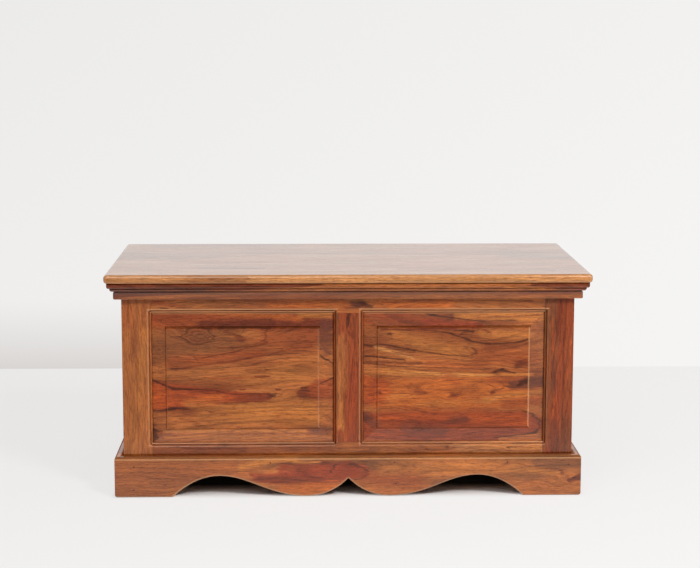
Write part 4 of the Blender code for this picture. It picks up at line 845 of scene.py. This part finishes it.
def lid_plan():
    """Strokes of the lid read as place along, then place front to back."""
    front = cad_low.y * MILLIMETRES
    strokes = []
    for share, tone, wide in ((0.02, "honey", 26), (0.22, "tan", 34), (0.45, "gold", 30), (0.7, "tan", 40)):
        middle = front + share * 560
        strokes.append((tone, -560, middle, 560, middle + 10, wide, wide, 0.5, 0.7))
    strokes += [
        ("brown", -520, front + 330, -330, front + 325, 60, 40, 0.6, 0.6),
        ("brown", -470, front + 520, -120, front + 520, 22, 14, 0.6, 0.7),
        ("brown", -330, front + 120, -200, front + 108, 16, 10, 0.6, 0.7),
        ("brown", -260, front + 372, 220, front + 352, 12, 9, 0.6, 0.7, 5),
        ("maroon", -60, front + 366, 260, front + 350, 5, 3, 0.6, 0.6, 3),
        ("grey_brown", 430, front + 330, 540, front + 300, 60, 50, 0.6, 0.7),
        ("russet", 120, front + 90, 520, front + 70, 10, 16, 0.7, 0.6, 5),
        ("maroon", 250, front + 330, 420, front + 350, 5, 3, 0.6, 0.6),
        ("maroon", -412, front + 272, -388, front + 280, 10, 7, 0.6, 0.9),
        ("maroon", 430, front + 3, 550, front + 8, 2, 3, 0.6, 0.7),
        ("brown", -360, front + 2, -230, front + 1, 2, 2, 0.6, 0.7),
    ]
    knots = [
        (-400, front + 275, 90, 34, 44), (180, front + 380, 130, 40, 44), (330, front + 130, 160, 40, -34),
        (-120, front + 60, 200, 40, 24),
    ]
    return board(LID_GRAIN, ("honey", "gold"), 0.8, strokes, knots, ring=11.0, seed=61, gloss=0.25, coat=0.8,
                 wear=0.3)


# Boards with no close view in the photograph get knots and streaks scattered by their seed


def scattered(axes, tones, low, high, seed, count=6, contrast=0.55, ring=8.0, gloss=0.32):
    """A plan whose figure is strewn over a box of (along, across) millimetres."""
    chance = random.Random(seed)
    strokes, knots = [], []
    length, height = high[0] - low[0], high[1] - low[1]
    for _ in range(count):
        x = chance.uniform(low[0], high[0])
        z = chance.uniform(low[1], high[1])
        run = chance.uniform(0.25, 0.6) * length
        wide = chance.uniform(0.03, 0.14) * height
        tone = chance.choice(("gold", "russet", "brown", "amber", "red"))
        lean = chance.uniform(-0.05, 0.05) * height
        strokes.append((tone, x - run / 2, z, x + run / 2, z + lean, wide, wide * 0.4, 0.5, 0.75,
                        chance.uniform(-0.03, 0.03) * height))
    for _ in range(max(1, count // 2)):
        x = chance.uniform(low[0], high[0])
        z = chance.uniform(low[1], high[1])
        reach = chance.uniform(0.06, 0.16) * height
        knots.append((x, z, reach * 2.4, reach, reach * chance.choice((1.6, 1.2, -1.0))))
        if chance.random() < 0.5:
            strokes.append(("dark", x, z, x + reach * 0.3, z, reach * 0.22, reach * 0.22, 0.5, 0.8))
    return board(axes, tones, contrast, strokes, knots, ring, seed, gloss)


def node_plan(node, axes, tones, seed, **settings):
    """A scattered plan that covers one CAD node."""
    low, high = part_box(node)
    along, across = ("XYZ".index(axis) for axis in axes[:2])
    first = (low[along] * MILLIMETRES, low[across] * MILLIMETRES)
    last = (high[along] * MILLIMETRES, high[across] * MILLIMETRES)
    return scattered(axes, tones, first, last, seed, **settings)


def dress(node, material):
    """Give a CAD node its material."""
    mesh = nodes[node].data
    mesh.materials.clear()
    mesh.materials.append(material)


def opening_between(axis, mirrored, sides, bottom_rail, top_rail):
    """The opening between two (node, corner) sides and two rails."""
    low, high = (getattr(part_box(node)[corner], axis.lower()) * MILLIMETRES for node, corner in sides)
    foot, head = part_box(bottom_rail)[1].z * MILLIMETRES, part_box(top_rail)[0].z * MILLIMETRES
    middle, half = ((low + high) / 2, (foot + head) / 2), ((high - low) / 2, (head - foot) / 2)
    return Opening(axis, mirrored, middle, half)


FRONT_OPENING = opening_between("X", True, (("front_muntin", 1), ("front_post_right", 0)),
                                "front_bottom_rail", "front_top_rail")
END_OPENING = opening_between("Y", False, (("front_post_left", 1), ("back_post_left", 0)),
                              "left_bottom_rail", "left_top_rail")


def dress_front():
    plans = {
        "front_panel_left": LEFT_PANEL,
        "front_panel_right": RIGHT_PANEL,
        "front_post_left": LEFT_POST,
        "front_post_right": RIGHT_POST,
        "front_muntin": MUNTIN,
        "front_top_rail": TOP_RAIL,
        "front_bottom_rail": BOTTOM_RAIL,
    }
    for node, plan in plans.items():
        dress(node, wood(f"{node}_wood", plan, opening=FRONT_OPENING))
    trim = {"plinth_front": PLINTH, "cornice_front": CORNICE, "lid_top": lid_plan()}
    for node, plan in trim.items():
        dress(node, wood(f"{node}_wood", plan))


def dress_ends_and_back():
    """The grain of each board, and whether it borders an end's opening, follow from its name."""
    show = {
        "left_panel": ("tan", "russet"), "right_panel": ("tan", "brown"),
        "left_top_rail": ("amber", "russet"), "right_top_rail": ("tan", "brown"),
        "left_bottom_rail": ("brown", "tan"), "right_bottom_rail": ("russet", "tan"),
        "plinth_left": ("tan", "amber"), "plinth_right": ("tan", "gold"),
        "cornice_left": ("brown", "maroon"), "cornice_right": ("brown", "red"),
        "back_post_left": ("tan", "amber"), "back_post_right": ("tan", "russet"),
        "back_top_rail": ("tan", "brown"), "back_bottom_rail": ("tan", "amber"),
        "back_muntin": ("amber", "brown"),
        "back_panel_left": ("tan", "gold"), "back_panel_right": ("tan", "brown"),
    }
    for seed, (node, tones) in enumerate(show.items(), start=100):
        post, back = "post" in node, node.startswith("back")
        axes = UP_FRONT if post or "muntin" in node else ALONG_X if back else ALONG_Y
        borders = post or not (back or node.startswith(("plinth", "cornice")))
        plan = node_plan(node, axes, tones, seed, count=12 if "panel" in node else 6)
        dress(node, wood(f"{node}_wood", plan, opening=END_OPENING if borders else None))


def dress_inside():
    inside = {f"bottom_board_{i}": FLOOR_GRAIN for i in range(1, 7)}
    inside.update(cleat_front=ALONG_X, cleat_back=ALONG_X, cleat_left=ALONG_Y, cleat_right=ALONG_Y)
    inside.update({f"lid_batten_{side}": FLOOR_GRAIN for side in ("left", "middle", "right")})
    for seed, (node, axes) in enumerate(inside.items(), start=200):
        plan = node_plan(node, axes, ("bare", "bare_dark"), seed, count=3, contrast=0.4)
        dress(node, wood(f"{node}_wood", plan, finished=False))


def metal(name, colour, rough, streak_axis):
    """Drawn and lightly tarnished metal, with fine lines along one axis."""
    material, tree, shader = new_material(name, rough, 1.0)
    point = object_point(tree, MILLIMETRES)
    lines = [3.0, 3.0, 3.0]
    lines["XYZ".index(streak_axis)] = 0.08
    brushed = noise(tree, vector_calc(tree, "MULTIPLY", point, tuple(lines)), detail=3.0)[0]
    blotches = noise(tree, point, scale=0.06, detail=3.0)[0]
    dull = tuple(channel * 0.62 for channel in colour[:3]) + (1.0,)
    tarnish = remap(tree, blotches, 0.42, 0.66, 0.0, 0.8)
    feed(tree, shader.inputs["Base Color"], mix_colour(tree, tarnish, colour, dull))
    wear = calc(tree, "ADD", remap(tree, brushed, 0.3, 0.7, rough - 0.06, rough + 0.08),
                times(tree, tarnish, 0.15))
    feed(tree, shader.inputs["Roughness"], wear)
    bump(tree, shader, brushed, 0.00003, 0.4)
    return material


def dress_metal():
    brass = metal("hinge_brass", srgb(205, 168, 96), 0.30, "X")
    steel = metal("stay_steel", srgb(186, 186, 182), 0.30, "Z")
    for side in ("left", "right"):
        for part in ("fixed_leaf", "lid_leaf", "pin"):
            dress(f"hinge_{side}_{part}", brass)
        for part in ("arm", "bracket", "rivet", "stud"):
            dress(f"stay_{side}_{part}", steel)
    return brass, steel


def add_object(name, data):
    """A new object in the scene."""
    item = bpy.data.objects.new(name, data)
    bpy.context.scene.collection.objects.link(item)
    return item


# Small fasteners


def add_piece(name, bm, material, body):
    bmesh.ops.recalc_face_normals(bm, faces=bm.faces)
    mesh = bpy.data.meshes.new(name)
    bm.to_mesh(mesh)
    bm.free()
    mesh.materials.append(material)
    mesh.shade_smooth()
    mesh.set_sharp_from_angle(angle=math.radians(40))
    piece = add_object(name, mesh)
    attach(piece, body)
    return piece


def facing(place, normal):
    """A frame whose +Z looks along the normal, at a place."""
    return Matrix.Translation(place) @ Vector(normal).to_track_quat("Z", "Y").to_matrix().to_4x4()


def ring(bm, matrix, radius, height, angles):
    """New vertices round a circle."""
    return [bm.verts.new(matrix @ Vector((radius * math.cos(angle), radius * math.sin(angle), height)))
            for angle in angles]


def slotted_head(bm, matrix, radius, proud):
    """A screw's flat head with a slot. The slot's floor takes the second material."""
    spread = math.asin(SLOT_SHARE)
    floors = []
    bottom = []
    for turn in (0, math.pi):
        angles = [turn + spread + (math.pi - 2 * spread) * i / HEAD_STEPS for i in range(HEAD_STEPS + 1)]
        low, high = (ring(bm, matrix, radius, height, angles) for height in (-SUNK, proud))
        ends = ring(bm, matrix, radius, proud - SCREW_SLOT_DEPTH, (angles[0], angles[-1]))
        bm.faces.new(high)
        bm.faces.new([high[0], high[-1], ends[1], ends[0]])
        for i in range(HEAD_STEPS):
            corners = [low[i], low[i + 1], high[i + 1], high[i]]
            if i == 0:
                corners.append(ends[0])
            if i == HEAD_STEPS - 1:
                corners.insert(2, ends[1])
            bm.faces.new(corners)
        floors += ends
        bottom.append(low)
    bm.faces.new(bottom[0] + bottom[1])
    bm.faces.new([bottom[0][-1], bottom[1][0], floors[2], floors[1]])
    bm.faces.new([bottom[1][-1], bottom[0][0], floors[0], floors[3]])
    bm.faces.new(floors).material_index = 1


def domed_head(bm, matrix, radius, proud):
    """A nail's head or a filled nail hole: a low dome whose rim is sunk a little."""
    angles = [2 * math.pi * i / HEAD_STEPS for i in range(HEAD_STEPS)]
    rings = [ring(bm, matrix, radius * share, height, angles)
             for share, height in ((1.0, -SUNK), (1.0, 0.0), (0.7, proud * 0.8))]
    top = bm.verts.new(matrix @ Vector((0, 0, proud)))
    bm.faces.new(rings[0])
    for i in range(HEAD_STEPS):
        j = (i + 1) % HEAD_STEPS
        for lower, upper in zip(rings, rings[1:]):
            bm.faces.new([lower[i], lower[j], upper[j], upper[i]])
        bm.faces.new([rings[-1][i], rings[-1][j], top])


def add_heads(name, form, places, normal, radius, proud, materials, body):
    """One piece with a head at each place. Slots are turned by a seed, since screws stop at any angle."""
    chance = random.Random(name)
    bm = bmesh.new()
    for place in places:
        turn = Matrix.Rotation(chance.uniform(0, math.pi), 4, "Z")
        form(bm, facing(Vector(place), normal) @ turn, radius, proud)
    piece = add_piece(name, bm, materials[0], body)
    for material in materials[1:]:
        piece.data.materials.append(material)
    return piece


def add_nails(filler):
    """Filled nail holes on the plinth, where the photograph shows them on its front."""
    front = [(x / MILLIMETRES, PLINTH_FACE, z / MILLIMETRES) for x, z in NAIL_PLACES]
    add_heads("plinth_front_nails", domed_head, front, (0, -1, 0), NAIL_RADIUS, NAIL_PROUD, (filler,),
              "carcase")
    for side, sign in (("left", -1), ("right", 1)):
        low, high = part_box(f"plinth_{side}")
        face = low.x if sign < 0 else high.x
        places = [(face, between(low.y, high.y, share), between(low.z, high.z, up))
                  for share, up in ((0.06, 0.78), (0.06, 0.22), (0.5, 0.86), (0.93, 0.78), (0.93, 0.22))]
        add_heads(f"plinth_{side}_nails", domed_head, places, (sign, 0, 0), NAIL_RADIUS, NAIL_PROUD,
                  (filler,), "carcase")


def between(low, high, share):
    return low + share * (high - low)


def row(low, high, y_share, z, shares):
    """Places along a box's length, at one share of its depth."""
    return [(between(low.x, high.x, share), between(low.y, high.y, y_share), z) for share in shares]


def add_hinge_screws(brass, shadow):
    axis_z = next(joint for joint in frame["record"]["behaviour"]["joints"]
                  if joint["name"] == "lid_hinge")["pos_m"][2]
    for side in ("left", "right"):
        for leaf, body, normal in (("fixed_leaf", "carcase", 1), ("lid_leaf", "lid", -1)):
            low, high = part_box(f"hinge_{side}_{leaf}")
            face = axis_z - normal * LEAF_GAP / 2
            places = row(low, high, 0.64, face, (0.5,)) + row(low, high, 0.40, face, (0.16, 0.84))
            add_heads(f"hinge_{side}_{leaf}_screws", slotted_head, places, (0, 0, normal), SCREW_RADIUS,
                      SCREW_PROUD, (brass, shadow), body)


def add_steel_screws(steel, shadow):
    """Screws in the stay brackets' flanges, the lid's battens and the cleats under the floor."""
    for side, sign in (("left", -1), ("right", 1)):
        low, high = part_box(f"stay_{side}_bracket")
        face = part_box("lid_top")[0].z - BRACKET_FACE_DROP
        inner = (high.x if sign < 0 else low.x) + sign * BRACKET_SCREW_INSET
        places = [(inner, between(low.y, high.y, share), face) for share in (0.22, 0.78)]
        add_heads(f"stay_{side}_bracket_screws", slotted_head, places, (0, 0, -1), SCREW_RADIUS * 0.8,
                  SCREW_PROUD, (steel, shadow), "lid")
    for side in ("left", "middle", "right"):
        low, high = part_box(f"lid_batten_{side}")
        middle = (low.x + high.x) / 2
        places = [(middle, between(low.y, high.y, share), low.z) for share in (0.1, 0.5, 0.9)]
        add_heads(f"lid_batten_{side}_screws", slotted_head, places, (0, 0, -1), SCREW_RADIUS, SCREW_PROUD,
                  (steel, shadow), "lid")
    for side in ("front", "back"):
        low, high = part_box(f"cleat_{side}")
        inward = 1 if side == "front" else -1
        face = high.y if inward > 0 else low.y
        middle = (low.z + high.z) / 2
        places = [(between(low.x, high.x, share), face, middle) for share in (0.05, 0.35, 0.65, 0.95)]
        add_heads(f"cleat_{side}_screws", slotted_head, places, (0, inward, 0), SCREW_RADIUS, SCREW_PROUD,
                  (steel, shadow), "carcase")


def add_fasteners(brass, steel):
    # Painted shadow: the screw slots' floors are near black
    shadow, tree, shader = new_material("screw_slot", 0.6, 0.5)
    grey = remap(tree, noise(tree, object_point(tree, MILLIMETRES), scale=0.8)[0], 0.3, 0.7, 0.01, 0.05)
    feed(tree, shader.inputs["Base Color"], join(tree, grey, grey, grey))
    filler, tree, shader = new_material("nail_filler", 0.45)
    mottled = noise(tree, object_point(tree, MILLIMETRES), scale=0.9, detail=3.0)[0]
    feed(tree, shader.inputs["Base Color"], mix_colour(tree, mottled, TONES["black"], TONES["dark"]))
    add_nails(filler)
    add_hinge_screws(brass, shadow)
    add_steel_screws(steel, shadow)


def main_camera():
    data = bpy.data.cameras.new("camera")
    data.lens = CAMERA_LENS
    data.sensor_width = SENSOR_WIDTH
    data.sensor_fit = "HORIZONTAL"
    data.clip_end = 100
    camera = add_object("camera", data)
    place = CAMERA_PLACE + Vector((0, FRONT_Y, 0))
    turn = (Matrix.Rotation(-CAMERA_YAW, 4, "Z") @ Matrix.Rotation(math.pi / 2 - CAMERA_PITCH, 4, "X")
            @ Matrix.Rotation(CAMERA_ROLL, 4, "Z"))
    camera.matrix_world = Matrix.Translation(place) @ turn
    bpy.context.scene.camera = camera


def add_stage(name, corners, material):
    bm = bmesh.new()
    bm.faces.new([bm.verts.new(corner) for corner in corners])
    mesh = bpy.data.meshes.new(name)
    bm.to_mesh(mesh)
    bm.free()
    mesh.materials.append(material)
    add_object(name, mesh)


def wall_colour(tree, colour):
    """The backdrop's colour with painted shade: darker low on the left where the chest keeps the light off,
    and a little darker to the left and upward; and the height.
    """
    x, _, z = split(tree, object_point(tree))
    left = ease(tree, x, -0.25, -0.65)
    low = remap(tree, z, WALL_SHADE_HEIGHT, 0.0)
    shade = times(tree, left, calc(tree, "POWER", low, 1.2))
    sunk = tuple(channel * share for channel, share in zip(colour, (0.80, 0.775, 0.765))) + (1.0,)
    seen = mix_colour(tree, shade, colour, sunk)
    # Painted shade: a little darker to the left and upward, where less light falls
    across = remap(tree, x, 1.1, -1.6, 1.0, 0.93)
    upward = remap(tree, z, 0.3, 1.3, 1.0, 0.965)
    return scaled(tree, seen, times(tree, across, upward)), z


def footprint_distance(tree, x, y):
    """How far a floor point lies outside the plinth."""
    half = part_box("plinth_right")[1].x
    middle = (PLINTH_FACE + BACK_Y) / 2
    beside = calc(tree, "SUBTRACT", calc(tree, "ABSOLUTE", x), half)
    offset = calc(tree, "ABSOLUTE", calc(tree, "SUBTRACT", y, middle))
    beyond = calc(tree, "SUBTRACT", offset, BACK_Y - middle)
    return calc(tree, "MAXIMUM", beside, beyond)


def show_to(tree, shader, share, colour, strength=1.0):
    """Mix a plain glow into a stage material, by a share worked out from the kind of ray."""
    glow = node(tree, "Emission", {"Color": colour, "Strength": strength})[0]
    mixed = node(tree, "MixShader", {0: share, 1: shader.outputs[0], 2: glow})[0]
    feed(tree, tree.nodes["Material Output"].inputs["Surface"], mixed)


def floor_material():
    """Matt paper, painted near black under the chest as painted shadow, whose shadows are half filled for the
    camera except under the chest and close to it.

    Gloss on the front sees it dark further ahead, as in a studio with its lights turned down."""
    material, tree, shader = new_material("floor_paper", 0.9)
    shader.inputs["Specular IOR Level"].default_value = 0.1
    x, y, _ = split(tree, object_point(tree))
    # Painted shade: a little darker to the left, where less light falls
    seen = scaled(tree, FLOOR_COLOUR[:3], remap(tree, x, 1.1, -1.6, 1.0, 0.95))
    kind = ray_kinds(tree)
    ahead = ease(tree, y, FRONT_Y - 0.15, FRONT_Y - 0.70, 0.0, 0.95)
    mirrored = times(tree, ahead, kind["Is Glossy Ray"])
    outside = footprint_distance(tree, x, y)
    # Painted shadow: the floor under the chest is drawn near black
    covered = ease(tree, outside, -0.06, -0.12)
    dark = calc(tree, "MAXIMUM", mirrored, covered)
    feed(tree, shader.inputs["Base Color"], mix_colour(tree, dark, seen, (0.05, 0.05, 0.05, 1.0)))
    clear = ease(tree, outside, -0.035, 0.015, 0.0, FLOOR_FILL)
    show_to(tree, shader, times(tree, clear, kind["Is Camera Ray"]), seen)
    return material


def wall_material():
    """The pale backdrop as the camera and gloss see it, fading out above its paper, and clear from behind."""
    material, tree, shader = new_material("wall_paint", 0.9)
    shader.inputs["Base Color"].default_value = WALL_PAINT
    seen, z = wall_colour(tree, WALL_COLOUR)
    kind = ray_kinds(tree)
    fade = ease(tree, z, 1.5, 2.3, 0.03, 0.9)
    strength = calc(tree, "SUBTRACT", 1.0, times(tree, kind["Is Glossy Ray"], fade))
    show_to(tree, shader, calc(tree, "MAXIMUM", kind["Is Camera Ray"], kind["Is Glossy Ray"]), seen, strength)
    output = tree.nodes["Material Output"].inputs["Surface"]
    behind = node(tree, "NewGeometry", {})["Backfacing"]
    clear = node(tree, "BsdfTransparent", {})[0]
    feed(tree, output, node(tree, "MixShader", {0: behind, 1: output.links[0].from_socket, 2: clear})[0])
    return material


def build_room():
    wall_y = BACK_Y + WALL_GAP
    half = ROOM_HALF
    add_stage("floor", [(-half, -half, 0), (half, -half, 0), (half, half, 0), (-half, half, 0)],
              floor_material())
    add_stage("wall", [(-half, wall_y, 0), (half, wall_y, 0), (half, wall_y, WALL_HEIGHT),
                       (-half, wall_y, WALL_HEIGHT)], wall_material())


def area_light(name, place, target, size, power):
    data = bpy.data.lights.new(name, "AREA")
    data.size = size
    data.energy = power
    add_object(name, data).matrix_world = facing(place, Vector(place) - Vector(target))


def studio_world():
    """Even light for matt surfaces. Gloss sees pale sides, the right one paler, a dark front and ceiling."""
    world = bpy.data.worlds.new("studio")
    world.use_nodes = True
    tree = world.node_tree
    background = tree.nodes["Background"]
    background.inputs["Color"].default_value = (1, 1, 1, 1)
    x, _, z = split(tree, coordinates(tree, "Generated"))
    right = ease(tree, x, 0.35, 0.75, 0.0, 1.1)
    left = ease(tree, x, -0.45, -0.85, 0.0, 0.45)
    low = ease(tree, z, 0.75, 0.40)
    sides = calc(tree, "ADD", times(tree, calc(tree, "ADD", right, left), low), 0.04)
    kind = ray_kinds(tree)
    unseen = mix_value(tree, kind["Is Glossy Ray"], AMBIENT, sides)
    feed(tree, background.inputs["Strength"], mix_value(tree, kind["Is Camera Ray"], unseen, BACKDROP))
    bpy.context.scene.world = world


def light_room():
    middle = Vector((0, 0, 0.25))
    area_light("key", middle + KEY_DISTANCE * KEY_DIRECTION.normalized(), middle, KEY_SIZE, KEY_POWER)
    area_light("fill", Vector(FILL_PLACE), middle, FILL_SIZE, FILL_POWER)
    studio_world()


dress_front()
dress_ends_and_back()
dress_inside()
add_fasteners(*dress_metal())
main_camera()
build_room()
light_room()
bpy.context.scene.view_settings.view_transform = "Standard"
